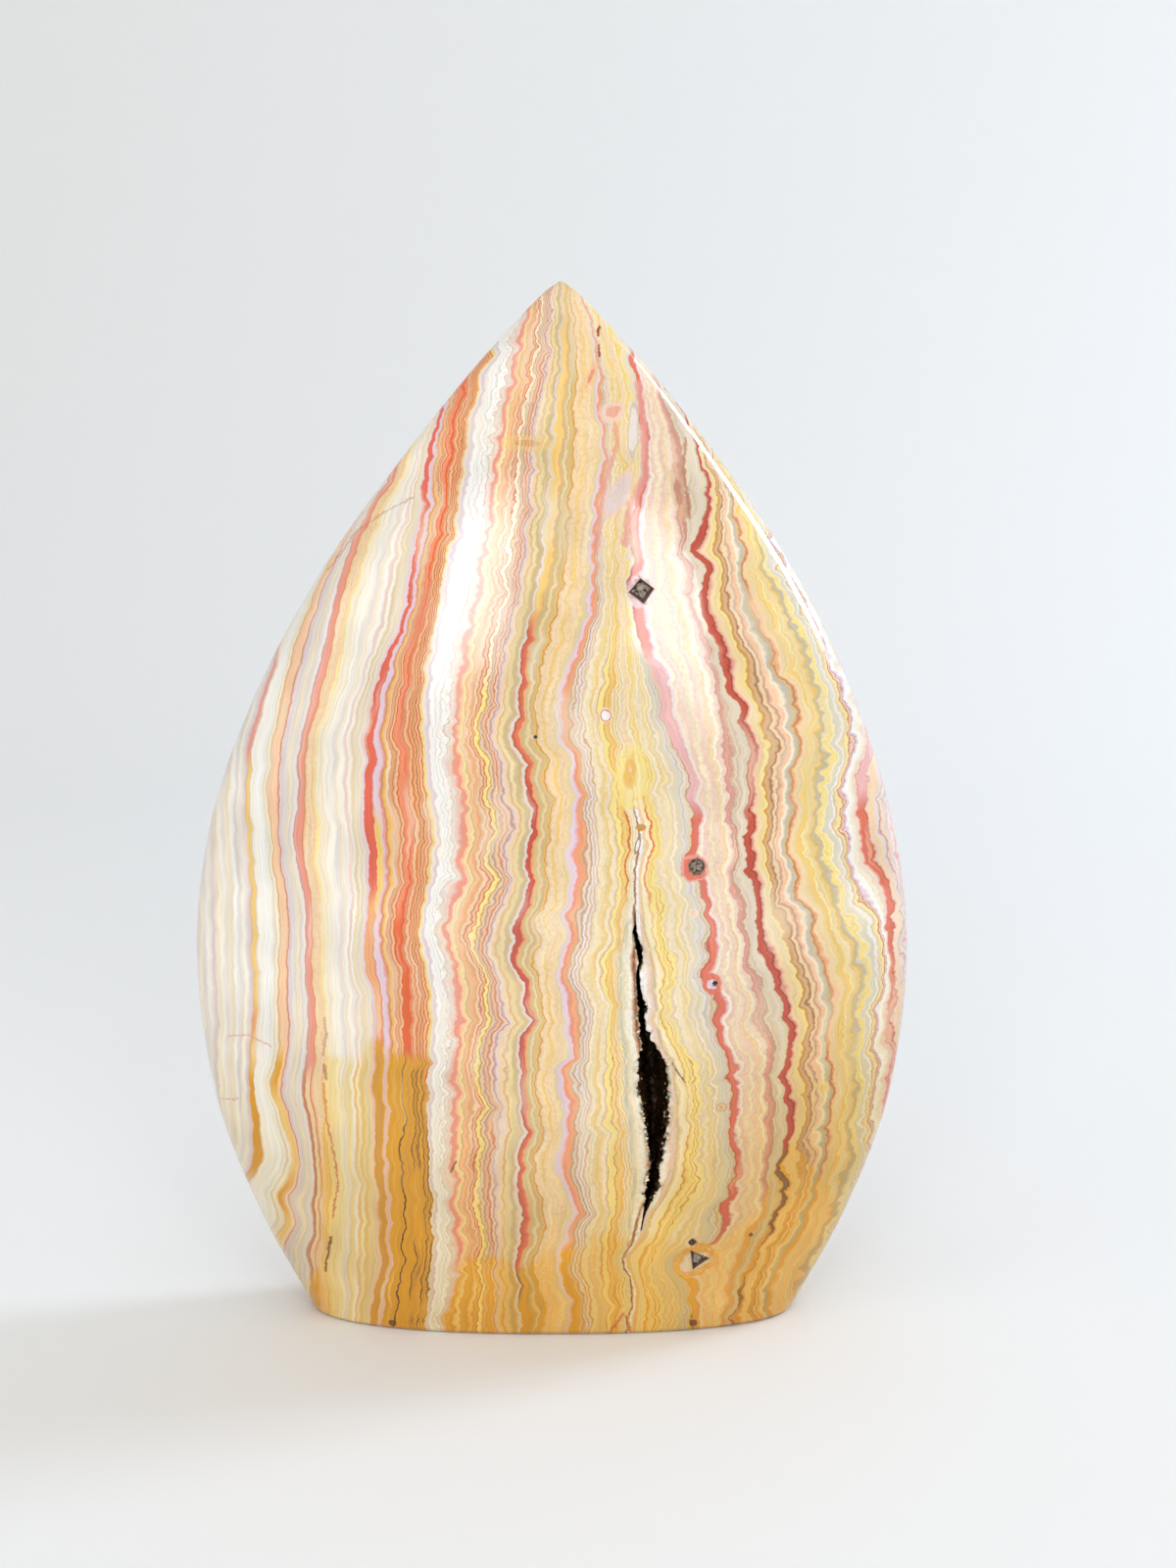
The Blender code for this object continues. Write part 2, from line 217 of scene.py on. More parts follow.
        (70, 31), (75, 28.6), (80, 26), (90, 21), (100, 16), (110, 11)],
    "right rim": [(0, 32.4), (10, 36), (20, 38.6), (40, 39), (55, 37.6), (65, 37), (75, 33), (85, 27.4),
        (95, 21.5), (110, 14)],
}

# What lies between one guide line and the next: colour, share of the width, and grain.
# Grain 0 is a smooth band; 1 is coarse sugary quartz.
RECIPES = {
    "left rim": [
        ("shell", 9), ("lilac", 6), ("cream", 12), ("pearl", 5), ("milk", 12), ("lilac", 4), ("cream", 8),
        ("milk", 10), ("pearl", 6), ("ivory", 5), ("white", 10), ("mist", 3), ("milk", 10), ("lilac", 5)],
    "bead line": [
        ("tan", 2), ("amber", 18), ("mist", 3), ("milk", 22), ("white", 20), ("chalk", 16), ("beige", 5),
        ("milk", 4), ("ivory", 6)],
    "peach line": [
        ("tan", 4), ("shell", 24), ("sienna", 3), ("lilac", 12), ("mist", 14), ("ivory", 7, 0.4),
        ("mist", 10), ("pearl", 10), ("mauve", 3)],
    "rose line": [
        ("rose", 15), ("salmon", 13), ("sienna", 3), ("peach", 8, 0.5), ("sand", 24, 0.8),
        ("shell", 10, 0.8), ("butter", 13, 0.5), ("cream", 12, 0.3)],
    "golden edge": [
        ("cream", 9), ("milk", 24), ("pearl", 5), ("cream", 10), ("white", 10), ("blush", 5), ("milk", 8),
        ("beige", 6), ("ivory", 8), ("mist", 3), ("ivory", 6), ("orchid", 8)],
    "scarlet line": [
        ("scarlet", 26), ("orchid", 18), ("rose", 7), ("sienna", 2), ("honey", 8), ("peach", 8),
        ("mauve", 3), ("apricot", 8), ("sienna", 3), ("peach", 7)],
    "block left": [
        ("rust", 2), ("flame", 16), ("ember", 10), ("flame", 6), ("sienna", 3), ("peach", 6),
        ("apricot", 6), ("rust", 3), ("apricot", 9), ("cocoa", 2), ("apricot", 8), ("rust", 3),
        ("peach", 7), ("rust", 3), ("amber", 8), ("ivory", 5)],
    "block right": [
        ("pearl", 8), ("lilac", 14), ("white", 22), ("pearl", 5), ("white", 14), ("mist", 4, 0.4),
        ("white", 24, 1), ("tan", 3, 1)],
    "quartz teeth": [
        ("pearl", 8, 0.8), ("blush", 10, 0.6), ("rose", 6, 0.4), ("salmon", 9), ("shell", 8),
        ("butter", 6), ("tan", 3), ("peach", 10), ("apricot", 7), ("tan", 3), ("shell", 9), ("sienna", 3),
        ("peach", 7), ("rust", 3)],
    "wine line": [
        ("lemon", 10, 0.4), ("ochre", 2), ("beige", 6), ("mauve", 5), ("peach", 6), ("sienna", 4),
        ("blush", 6), ("mauve", 4), ("lilac", 6), ("sand", 10, 0.3), ("tan", 3), ("straw", 13, 0.5),
        ("olive", 9), ("tan", 4), ("mist", 8)],
    "rust line": [
        ("rust", 5), ("coral", 8), ("apricot", 4), ("olive", 7), ("straw", 5), ("tan", 2), ("olive", 6),
        ("honey", 3), ("ochre", 2), ("sand", 15, 1), ("amber", 7, 0.9), ("sand", 14, 1),
        ("straw", 7, 0.7), ("beige", 5, 0.4)],
    "pink line": [
        ("orchid", 10), ("salmon", 8), ("apricot", 7), ("mauve", 2), ("beige", 7), ("mauve", 2),
        ("pearl", 6), ("tan", 2), ("pearl", 5), ("tan", 3), ("ivory", 12, 0.8), ("straw", 9, 0.9),
        ("amber", 5, 0.8), ("ivory", 10, 0.8), ("tan", 3)],
    "yellow line": [
        ("lemon", 26), ("ochre", 4), ("amber", 17), ("honey", 15), ("cream", 7), ("tan", 4),
        ("butter", 10), ("tan", 5), ("cream", 8)],
    "seam left": [
        ("sage", 8, 0.6), ("ivory", 6, 0.9), ("chalk", 12, 1), ("tan", 4, 1), ("cocoa", 4, 1),
        ("umber", 3, 1), ("cocoa", 4, 1), ("tan", 4, 1), ("white", 20, 1), ("blush", 10, 1),
        ("beige", 8, 1)],
    "seam right": [
        ("amber", 7), ("cream", 14), ("butter", 12), ("ochre", 3), ("amber", 8), ("lemon", 12),
        ("gold", 3), ("lemon", 10), ("ochre", 2), ("lemon", 20, 0.4)],
    "lemon teeth": [
        ("beige", 6, 0.7), ("ivory", 14, 0.6), ("straw", 12, 0.5), ("butter", 3), ("beige", 10, 0.3),
        ("cream", 6), ("beige", 8), ("sage", 8), ("mist", 8), ("pewter", 3), ("mist", 8), ("tan", 3),
        ("sage", 4), ("mauve", 3)],
    "coral line": [
        ("crimson", 2), ("coral", 16), ("orchid", 5), ("cream", 5, 0.4), ("blush", 14, 1),
        ("ivory", 12, 1), ("blush", 12, 1), ("sand", 10, 1), ("cream", 8, 0.8), ("blush", 8, 0.8),
        ("mauve", 3, 0.4)],
    "grainy line": [
        ("rose", 12, 0.7), ("mauve", 20, 0.6), ("beige", 10), ("pewter", 8), ("beige", 12), ("mist", 10),
        ("beige", 8), ("sage", 8), ("mauve", 4)],
    "crimson line": [
        ("crimson", 10), ("wine", 2), ("rose", 4), ("sand", 8), ("straw", 7), ("lemon", 3), ("ochre", 4),
        ("tan", 8), ("cocoa", 2), ("sand", 8), ("mauve", 3), ("shell", 9), ("cream", 5), ("pewter", 6),
        ("olive", 5), ("sienna", 3)],
    "brown line": [
        ("apricot", 6), ("sand", 14, 0.3), ("straw", 10), ("amber", 16, 0.3), ("butter", 5),
        ("straw", 14), ("amber", 8), ("olive", 11), ("pewter", 6)],
    "lace edge": [
        ("lemon", 22, 0.7), ("cream", 6), ("sage", 12), ("mist", 8), ("chalk", 10), ("tan", 3),
        ("beige", 6), ("butter", 10), ("sienna", 4), ("blush", 5)],
    "plum line": [
        ("mauve", 6), ("orchid", 10), ("white", 22), ("cream", 18), ("mist", 6), ("blush", 16),
        ("rose", 6)],
    "brick line": [
        ("coral", 15), ("rust", 4), ("blush", 8, 0.5), ("sand", 10, 0.6), ("lilac", 9), ("mauve", 2),
        ("blush", 9), ("pewter", 5), ("lilac", 7), ("rose", 6), ("blush", 9), ("mauve", 3), ("rose", 12)],
}
# Strips whose bands melt into each other instead of meeting in an edge
SOFT_STRIPS = ("left rim", "golden edge")

CRYSTAL_SEED = 11
WALL_CRYSTALS = 420
# Pits in the face: centre across and up, radius, number of corners, and turn in degrees
PITS = {
    "upper pit": (9.3, 78.8, 1.3, 4, 8.0),
    "red-ringed pit": (14.9, 51.0, 0.9, 9, 0.0),
    "loop pit": (16.85, 38.9, 0.33, 6, 20.0),
    "triangle pit": (15.4, 8.6, 1.3, 3, 35.0),
    "small pit": (14.8, 10.7, 0.4, 7, 0.0),
    "pinhole": (-1.45, 64.2, 0.2, 6, 0.0),
}
# A pit's greatest depth, and its floor's share of its radius
PIT_DEPTH = 1.6
PIT_FLOOR = 0.55


def smooth_row(rows, place):
    """Read a row at a fractional place along a list of rows, on a smooth curve through them."""
    last = len(rows) - 1
    index = min(int(place), last - 1)
    t = place - index
    before = rows[max(index - 1, 0)]
    start = rows[index]
    end = rows[index + 1]
    after = rows[min(index + 2, last)]
    gap = [max(math.dist(a, b) ** 0.5, 1e-6) for a, b in ((before, start), (start, end), (end, after))]
    result = []
    for a, b, c, d in zip(before, start, end, after):
        slope_in = (c - b) / gap[1]
        slope_out = slope_in
        if index > 0:
            slope_in = ((b - a) / gap[0] * gap[1] + (c - b) / gap[1] * gap[0]) / (gap[0] + gap[1])
        if index < last - 1:
            slope_out = ((c - b) / gap[1] * gap[2] + (d - c) / gap[2] * gap[1]) / (gap[1] + gap[2])
        value = (2 * t ** 3 - 3 * t ** 2 + 1) * b + (3 * t ** 2 - 2 * t ** 3) * c
        value += gap[1] * ((t ** 3 - 2 * t ** 2 + t) * slope_in + (t ** 3 - t ** 2) * slope_out)
        result.append(value)
    return result


def row_at(rows, height):
    """Read a row at a height on straight lines between the rows."""
    for low, high in zip(rows, rows[1:]):
        if height <= high[0]:
            break
    t = min(max((height - low[0]) / (high[0] - low[0]), 0.0), 1.0)
    return [a + (b - a) * t for a, b in zip(low, high)]


def lean_at(height):
    t = min(max((height - LEAN_FROM) / (LEAN_TO - LEAN_FROM), 0.0), 1.0)
    return TIP_LEAN * t * t * (3.0 - 2.0 * t)


def squared(value):
    """Push a sine or cosine outwards to the section's fuller shoulder."""
    return math.copysign(abs(value) ** (2.0 / SECTION_POWER), value)


def face_depth(across, height):
    """How far in front of the middle plane the stone's face is at one place."""
    _, width, thickness = row_at(PROFILE, height)
    share = min(abs(across - lean_at(height)) / width, 1.0)
    return thickness * (1.0 - share ** SECTION_POWER) ** (1.0 / SECTION_POWER)


PROFILE_STEPS = (len(STATIONS) - 1) * 8
PROFILE = [smooth_row(STATIONS, i * (len(STATIONS) - 1) / PROFILE_STEPS) for i in range(PROFILE_STEPS + 1)]


def flame_mesh():
    """A capped tube, cut into rings, each ring moved to its section of the flame."""
    rings = (len(STATIONS) - 1) * RINGS_PER_STATION
    bm = bmesh.new()
    bmesh.ops.create_cone(bm, cap_ends=True, segments=SIDES, radius1=1.0, radius2=1.0, depth=1.0)
    uprights = [e for e in bm.edges if abs(e.verts[0].co.z - e.verts[1].co.z) > 0.5]
    bmesh.ops.subdivide_edges(bm, edges=uprights, cuts=rings - 1)
    for vert in bm.verts:
        angle = math.atan2(vert.co.y, vert.co.x)
        height, width, thickness = smooth_row(STATIONS, (vert.co.z + 0.5) * (len(STATIONS) - 1))
        across = width * squared(math.cos(angle)) + lean_at(height)
        forward = thickness * squared(math.sin(angle))
        vert.co = (across * MM, forward * MM, height * MM)
    bmesh.ops.remove_doubles(bm, verts=bm.verts, dist=0.001 * MM)
    foot = [e for e in bm.edges if max(v.co.z for v in e.verts) < 0.001 * MM]
    bmesh.ops.bevel(bm, geom=foot, offset=FOOT_ROUNDING * MM, offset_type="OFFSET", segments=3,
                    profile=0.5, affect="EDGES", material=-1)
    return bm


def hollow_mesh(left, right, depth, inset, sides, rings, roughness, grain):
    """A tall almond lying in the stone's face, widest at the surface, with a rough wall."""
    low = FISSURE[0][0] + inset
    high = FISSURE[-1][0] - inset
    bm = bmesh.new()
    bmesh.ops.create_uvsphere(bm, u_segments=sides, v_segments=rings, radius=1.0)
    for vert in bm.verts:
        angle = math.atan2(vert.co.y, vert.co.x)
        along = math.asin(max(-1.0, min(1.0, vert.co.z))) / math.pi + 0.5
        height = low + (high - low) * along
        row = row_at(FISSURE, height)
        middle = (row[left] + row[right]) / 2.0
        half = max((row[right] - row[left]) / 2.0, 0.05)
        swell = math.sin(math.pi * along) ** 0.5
        pole = 1.0 if 0.001 < along < 0.999 else 0.0
        across = middle + half * math.cos(angle) * pole
        inwards = depth * swell * math.sin(angle) * pole
        point = Vector((across, inwards - face_depth(middle, height), height))
        wear = min(roughness, half * 0.55) * min(swell * 2.0, 1.0) * pole
        point.x += noise.noise(point / grain) * wear * 1.4
        point.x += noise.noise(point * 2.7 / grain) * wear * 0.6
        vert.co = point * MM
    return bm


def pit_mesh(across, height, radius, corners, turn):
    """A blunt flat-sided spike sunk in the face."""
    depth = min(PIT_DEPTH, radius * 2.2)
    bm = bmesh.new()
    bmesh.ops.create_cone(bm, cap_ends=True, segments=corners, radius1=radius * PIT_FLOOR * MM,
                          radius2=radius * (2.0 - PIT_FLOOR) * MM, depth=depth * 2.0 * MM)
    bmesh.ops.rotate(bm, verts=bm.verts, matrix=Matrix.Rotation(math.radians(turn), 3, "Z"))
    bmesh.ops.rotate(bm, verts=bm.verts, matrix=Matrix.Rotation(math.radians(90.0), 3, "X"))
    bmesh.ops.translate(bm, verts=bm.verts,
                        vec=(across * MM, -face_depth(across, height) * MM, height * MM))
    return bm


def new_piece(name, bm, material, sharp_degrees=40.0):
    """Turn a finished bmesh into an object at the origin."""
    bmesh.ops.recalc_face_normals(bm, faces=bm.faces)
    mesh = bpy.data.meshes.new(name)
    bm.to_mesh(mesh)
    bm.free()
    mesh.materials.append(material)
    mesh.shade_smooth()
    mesh.set_sharp_from_angle(angle=math.radians(sharp_degrees))
    piece = bpy.data.objects.new(name, mesh)
    bpy.context.scene.collection.objects.link(piece)
    return piece


def cut(piece, cutter, operation="DIFFERENCE"):
    """Cut or keep with another shape at once, and take that shape away."""
    modifier = piece.modifiers.new(operation.title(), "BOOLEAN")
    modifier.object = cutter
    modifier.operation = operation
    modifier.solver = "EXACT"
    modifier.material_mode = "TRANSFER"
    bpy.context.view_layer.update()
    result = bpy.data.meshes.new_from_object(piece.evaluated_get(bpy.context.evaluated_depsgraph_get()))
    piece.modifiers.clear()
    old = piece.data
    piece.data = result
    bpy.data.meshes.remove(old)
    bpy.data.objects.remove(cutter, do_unlink=True)


def grow_crystal(bm, root, direction, radius, length):
    """One quartz point: a six-sided prism with a six-sided tip."""
    turn = direction.to_track_quat("Z", "Y").to_matrix().to_4x4()
    place = Matrix.Translation(root) @ turn
    prism = length * 0.55
    bmesh.ops.create_cone(bm, cap_ends=True, segments=6, radius1=radius * 0.9, radius2=radius,
                          depth=prism, matrix=place @ Matrix.Translation((0.0, 0.0, prism / 2.0)))
    bmesh.ops.create_cone(bm, cap_ends=True, segments=6, radius1=radius, radius2=radius * 0.04,
                          depth=length - prism,
                          matrix=place @ Matrix.Translation((0.0, 0.0, (length + prism) / 2.0)))


def wall_crystals():
    """Small quartz points standing on the fissure's walls, leaning into the opening."""
    dice = random.Random(CRYSTAL_SEED)
    bm = bmesh.new()
    for _ in range(WALL_CRYSTALS):
        height = dice.uniform(FISSURE[1][0], FISSURE[-2][0])
        row = row_at(FISSURE, height)
        half = (row[4] - row[3]) / 2.0
        side = dice.choice((-1.0, 1.0))
        depth = 0.2 + 7.0 * dice.random() ** 2.6
        reach = math.sqrt(max(0.0, 1.0 - (depth / MOUTH_DEPTH) ** 2))
        middle = (row[3] + row[4]) / 2.0
        root = Vector((middle + side * (half * reach + 0.14), depth - face_depth(middle, height), height))
        direction = Vector((-side, dice.uniform(-0.35, 0.5), dice.uniform(-0.5, 0.5))).normalized()
        radius = dice.uniform(0.08, 0.2)
        length = min(dice.uniform(1.4, 2.6) * radius, half * 0.5 + 0.1)
        if depth < radius + 0.1:
            direction.y = abs(direction.y)
        grow_crystal(bm, root * MM, direction, radius * MM, length * MM)
    return bm


def pit_crystals():
    """Quartz points crowded on the floors of the larger pits, all below the polished face."""
    dice = random.Random(CRYSTAL_SEED + 1)
    bm = bmesh.new()
    for across, height, radius, _, _ in PITS.values():
        if radius < 0.35:
            continue
        depth = min(PIT_DEPTH, radius * 2.2)
        for index in range(int(14 * radius) + 6):
            spread = radius * 0.75 * math.sqrt(dice.random())
            angle = index * 2.4
            x = across + spread * math.cos(angle)
            z = height + spread * math.sin(angle)
            root = Vector((x, depth + 0.05 - face_depth(across, height), z))
            direction = Vector((dice.uniform(-0.45, 0.45), -1.0, dice.uniform(-0.45, 0.45))).normalized()
            thick = radius * dice.uniform(0.14, 0.3)
            length = depth * dice.uniform(0.35, 0.8)
            grow_crystal(bm, root * MM, direction, thick * MM, length * MM)
    return bm


def eight_bit(name):
    """One of the named colours as the linear values that sockets take."""
    result = []
    for value in COLOURS[name]:
        share = value / 255.0
        result.append(share / 12.92 if share <= 0.04045 else ((share + 0.055) / 1.055) ** 2.4)
    return (*result, 1.0)


def new_material(name):
    material = bpy.data.materials.new(name)
    material.use_nodes = True
    return material


def new_group(name, inputs, outputs):
    """A shader node group with named sockets; F is a number, V a vector, C a colour."""
    kinds = {"F": "NodeSocketFloat", "V": "NodeSocketVector", "C": "NodeSocketColor"}
    tree = bpy.data.node_groups.new(name, "ShaderNodeTree")
    for direction, sockets in (("INPUT", inputs), ("OUTPUT", outputs)):
        for label, kind in sockets:
            tree.interface.new_socket(name=label, in_out=direction, socket_type=kinds[kind])
    return tree, tree.nodes.new("NodeGroupInput"), tree.nodes.new("NodeGroupOutput")


def use_group(tree, group, **inputs):
    node = tree.nodes.new("ShaderNodeGroup")
    node.node_tree = group
    for label, value in inputs.items():
        feed(tree, node.inputs[label.replace("_", " ")], value)
    return node


def feed(tree, socket, value):
    """Link a socket to another's output, or set it to a plain value."""
    if isinstance(value, bpy.types.NodeSocket):
        tree.links.new(value, socket)
    else:
        socket.default_value = value


def calc(tree, operation, *values):
    node = tree.nodes.new("ShaderNodeMath")
    node.operation = operation
    for socket, value in zip(node.inputs, values):
        feed(tree, socket, value)
    return node.outputs[0]


def held(tree, value, low=0.0, high=1.0):
    """Keep a value within limits."""
    return calc(tree, "MINIMUM", calc(tree, "MAXIMUM", value, low), high)


def vector(tree, operation, *values):
    node = tree.nodes.new("ShaderNodeVectorMath")
    node.operation = operation
    for socket, value in zip(node.inputs, values):
        feed(tree, socket, value)
    return node.outputs["Value"] if operation in ("LENGTH", "DOT_PRODUCT", "DISTANCE") else node.outputs[0]


def remap(tree, value, low, high, new_low=0.0, new_high=1.0, kind="LINEAR"):
    """Map a value from one range to another; only SMOOTHSTEP holds it at the ends."""
    node = tree.nodes.new("ShaderNodeMapRange")
    node.interpolation_type = kind
    node.clamp = False
    for label, part in zip(("Value", "From Min", "From Max", "To Min", "To Max"),
                           (value, low, high, new_low, new_high)):
        feed(tree, node.inputs[label], part)
    return node.outputs["Result"]


def span(tree, value, low, high, new_low=0.0, new_high=1.0):
    """Map a value from one range to another on a straight line, held at both ends."""
    mapped = remap(tree, value, low, high, new_low, new_high)
    return held(tree, mapped, min(new_low, new_high), max(new_low, new_high))


def ease(tree, value, low, high, new_low=0.0, new_high=1.0):
    return remap(tree, value, low, high, new_low, new_high, "SMOOTHSTEP")


def mix(tree, share, first, second, blend="MIX"):
    node = tree.nodes.new("ShaderNodeMix")
    node.data_type = "RGBA"
    node.blend_type = blend
    feed(tree, node.inputs["Factor"], share)
    feed(tree, node.inputs[6], first)
    feed(tree, node.inputs[7], second)
    return node.outputs[2]


def blend(tree, share, first, second):
    """Go from one number to another by a share that is held between 0 and 1."""
    node = tree.nodes.new("ShaderNodeMix")
    node.data_type = "FLOAT"
    for socket, value in zip(node.inputs[:1] + node.inputs[2:4], (share, first, second)):
        feed(tree, socket, value)
    return node.outputs[0]


def grain(tree, place, scale, detail=2.0, roughness=0.5, offset=None):
    """Soft noise, from 0 to 1 and mostly near a half, and its colour as three noises."""
    if offset is not None:
        place = vector(tree, "ADD", place, offset)
    node = tree.nodes.new("ShaderNodeTexNoise")
    node.inputs["Scale"].default_value = scale
    node.inputs["Detail"].default_value = detail
    node.inputs["Roughness"].default_value = roughness
    feed(tree, node.inputs["Vector"], place)
    return node


def cells(tree, place, scale):
    node = tree.nodes.new("ShaderNodeTexVoronoi")
    node.inputs["Scale"].default_value = scale
    feed(tree, node.inputs["Vector"], place)
    return node


def stretch(tree, place, factors):
    return vector(tree, "MULTIPLY", place, factors)


def ramp(tree, value, stops):
    """A colour ramp with one stop for each (place, colour)."""
    node = tree.nodes.new("ShaderNodeValToRGB")
    elements = node.color_ramp.elements
    elements.remove(elements[1])
    for index, (place, colour) in enumerate(stops):
        element = elements[0] if index == 0 else elements.new(place)
        element.position = place
        element.color = colour
    feed(tree, node.inputs["Fac"], value)
    return node


def curve(tree, value, points, kind="AUTO"):
    """Read a curve drawn through (place, value) points, both from 0 to 1."""
    node = tree.nodes.new("ShaderNodeFloatCurve")
    line = node.mapping.curves[0]
    while len(line.points) < len(points):
        line.points.new(0.5, 0.5)
    for point, (place, height) in zip(line.points, points):
        point.location = (place, height)
        point.handle_type = kind
    node.mapping.use_clip = False
    node.mapping.update()
    feed(tree, node.inputs["Value"], value)
    return node.outputs[0]


# How far lines push out in teeth: size of a tooth and how far it reaches, positive to the right
JAGGED = {
    "quartz teeth": (1.1, 0.9),
    "lemon teeth": (0.8, -0.7),
    "wine line": (0.7, 0.4),
    "lace edge": (0.9, -0.7),
    "coral line": (1.3, -0.4),
}
# Where the rust stain ends upwards: across, height
STAIN_EDGE = [
    (-42, 10), (-33, 10), (-29, 5), (-26, 5), (-24.3, 8), (-23.5, 31), (-19.5, 31), (-18.5, 33), (-15, 31.5),
    (-12.8, 31.5), (-12.2, 3), (-10.6, 3), (-9.6, 8), (-6, 10), (-3.5, 8), (2, 11), (8, 12), (16, 10),
    (22, 14), (25, 22), (29, 16), (33, 10), (42, 8),
]
# Across runs from -HALF_SPAN to HALF_SPAN and height from 0 to TALL_SPAN; the shader reads both as 0 to 1
HALF_SPAN = 42.0
TALL_SPAN = 112.0
# As shares of the whole span across: the least width of a strip and the half width of the blend at its edge
NARROWEST_STRIP = 0.002
EDGE_BLEND = 0.0003
# The half height of the blend where a band changes its colour
CHANGE_BLEND = 1.2
# The half width of the blend between the rings of an eye, as a share of its size
RING_BLEND = 0.07
# Where a crack's colour starts to fade and where it ends, in half widths of the crack
CRACK_CORE = 0.45
CRACK_END = 1.1
STONE_IOR = 1.54
# Colour that a band takes on over part of its height: strip, from and to across it, from and to up the stone
CHANGES = [
    ("bead line", 0.0, 0.2, 61.0, 100.0, "rose"),
    ("scarlet line", 0.0, 0.26, 33.0, 48.0, "apricot"),
    ("scarlet line", 0.26, 0.44, 46.0, 56.0, "amber"),
    ("block left", 0.0, 0.3, 31.0, 46.0, "ember"),
    ("yellow line", 0.62, 0.72, 48.0, 57.5, "rust"),
    ("seam right", 0.3, 0.4, 48.0, 57.5, "scarlet"),
    ("coral line", 0.0, 0.18, 57.0, 72.0, "pink"),
    ("rust line", 0.0, 0.12, 25.0, 60.0, "crimson"),
    ("brick line", 0.0, 0.19, 57.0, 64.0, "pink"),
    ("bead line", 0.0, 0.24, 14.0, 28.5, "mustard"),
    ("bead line", 0.0, 0.2, 32.0, 35.5, "apricot"),
    ("peach line", 0.03, 0.25, 7.0, 31.0, "amber"),
    ("peach line", 0.0, 0.25, 12.5, 17.0, "mustard"),
    ("peach line", 0.0, 0.22, 26.5, 30.5, "mustard"),
    ("rose line", 0.0, 0.1, 4.0, 29.0, "sienna"),
    ("rose line", 0.1, 0.26, 4.0, 29.0, "sand"),
    ("block left", -0.03, 0.03, 0.0, 31.0, "umber"),
    ("block left", 0.4, 0.46, 0.0, 31.0, "rust"),
    ("block left", 0.56, 0.62, 0.0, 31.0, "rust"),
    ("block left", 0.74, 0.8, 0.0, 31.0, "rust"),
    ("block left", 0.9, 0.97, 0.0, 31.0, "rust"),
    ("rust line", 0.0, 0.16, 76.0, 112.0, "amber"),
    ("wine line", 0.0, 0.1, 70.0, 112.0, "cream"),
    ("seam left", 0.1, 0.9, 60.0, 112.0, "sand"),
]
# Eyes, rings and blots on the front: centre, half width and half height, slant, strength, and colours
# outwards with their outer edge
SPOTS = {
    "lemon field": (8.3, 60.2, 1.8, 3.6, 0.0, 0.85, [("butter", 0.6), ("lemon", 1.0)]),
    "lemon eye": (8.1, 60.8, 0.75, 1.9, 0.05, 0.95, [("shell", 0.22), ("honey", 0.7), ("amber", 1.0)]),
    "white eye": (5.6, 66.35, 0.7, 0.75, 0.0, 1.0, [("white", 0.65), ("scarlet", 0.85), ("ivory", 1.0)]),
    "gold knot": (9.2, 55.1, 0.55, 0.4, 0.0, 1.0, [("ochre", 1.0)]),
    "clear streak": (8.9, 53.4, 0.3, 1.1, 0.2, 1.0, [("white", 0.5), ("smoke", 1.0)]),
    "peach spot": (14.6, 46.3, 0.5, 0.5, 0.0, 0.9, [("shell", 0.6), ("ivory", 1.0)]),
    "red ring": (14.6, 50.9, 1.5, 1.5, 0.0, 1.0, [("coral", 0.85), ("rose", 1.0)]),
    "red loop": (16.55, 38.9, 1.15, 1.25, 0.0, 1.0, [("orchid", 0.45), ("coral", 1.0)]),
    "small eye": (17.6, 25.7, 0.6, 0.5, 0.0, 0.9, [("gold", 0.4), ("ivory", 0.65), ("mauve", 1.0)]),
    "yellow eye": (28.3, 27.0, 0.8, 0.95, 0.0, 0.8, [("amber", 0.45), ("butter", 1.0)]),
    "ringed hole": (14.8, 10.65, 0.8, 0.75, 0.0, 0.9, [("rust", 0.6), ("ivory", 1.0)]),
    "mustard ring": (15.1, 8.5, 2.4, 1.9, 0.3, 0.95, [("beige", 0.62), ("mustard", 0.9), ("honey", 1.0)]),
    "pale halo": (9.3, 78.8, 1.8, 1.8, 0.0, 0.7, [("lilac", 1.0)]),
    "left foot speck": (-17.0, 0.8, 0.5, 0.4, 0.0, 0.9, [("umber", 1.0)]),
    "right foot speck": (15.0, 1.0, 0.5, 0.45, 0.0, 0.9, [("umber", 1.0)]),
    "brown speck": (21.0, 11.1, 0.25, 0.25, 0.0, 0.9, [("umber", 1.0)]),
    "mustard smear": (-2.4, 93.5, 3.2, 0.9, -0.6, 0.45, [("mustard", 0.4), ("amber", 1.0)]),
    "milky patch": (8.4, 94.7, 0.6, 3.4, 0.05, 0.9, [("pearl", 0.7), ("pewter", 1.0)]),
    "lilac patch": (7.0, 88.4, 1.3, 2.6, 0.5, 0.85, [("lilac", 0.8), ("blush", 1.0)]),
    "red blotch": (4.1, 100.2, 0.5, 1.9, 0.35, 0.8, [("coral", 0.4), ("peach", 1.0)]),
    "pink blotch": (6.3, 96.6, 1.5, 1.2, 0.3, 0.8, [("rose", 0.5), ("blush", 1.0)]),
    "ochre streak": (13.0, 88.6, 0.8, 3.0, -0.15, 0.5, [("cocoa", 0.4), ("tan", 1.0)]),
}
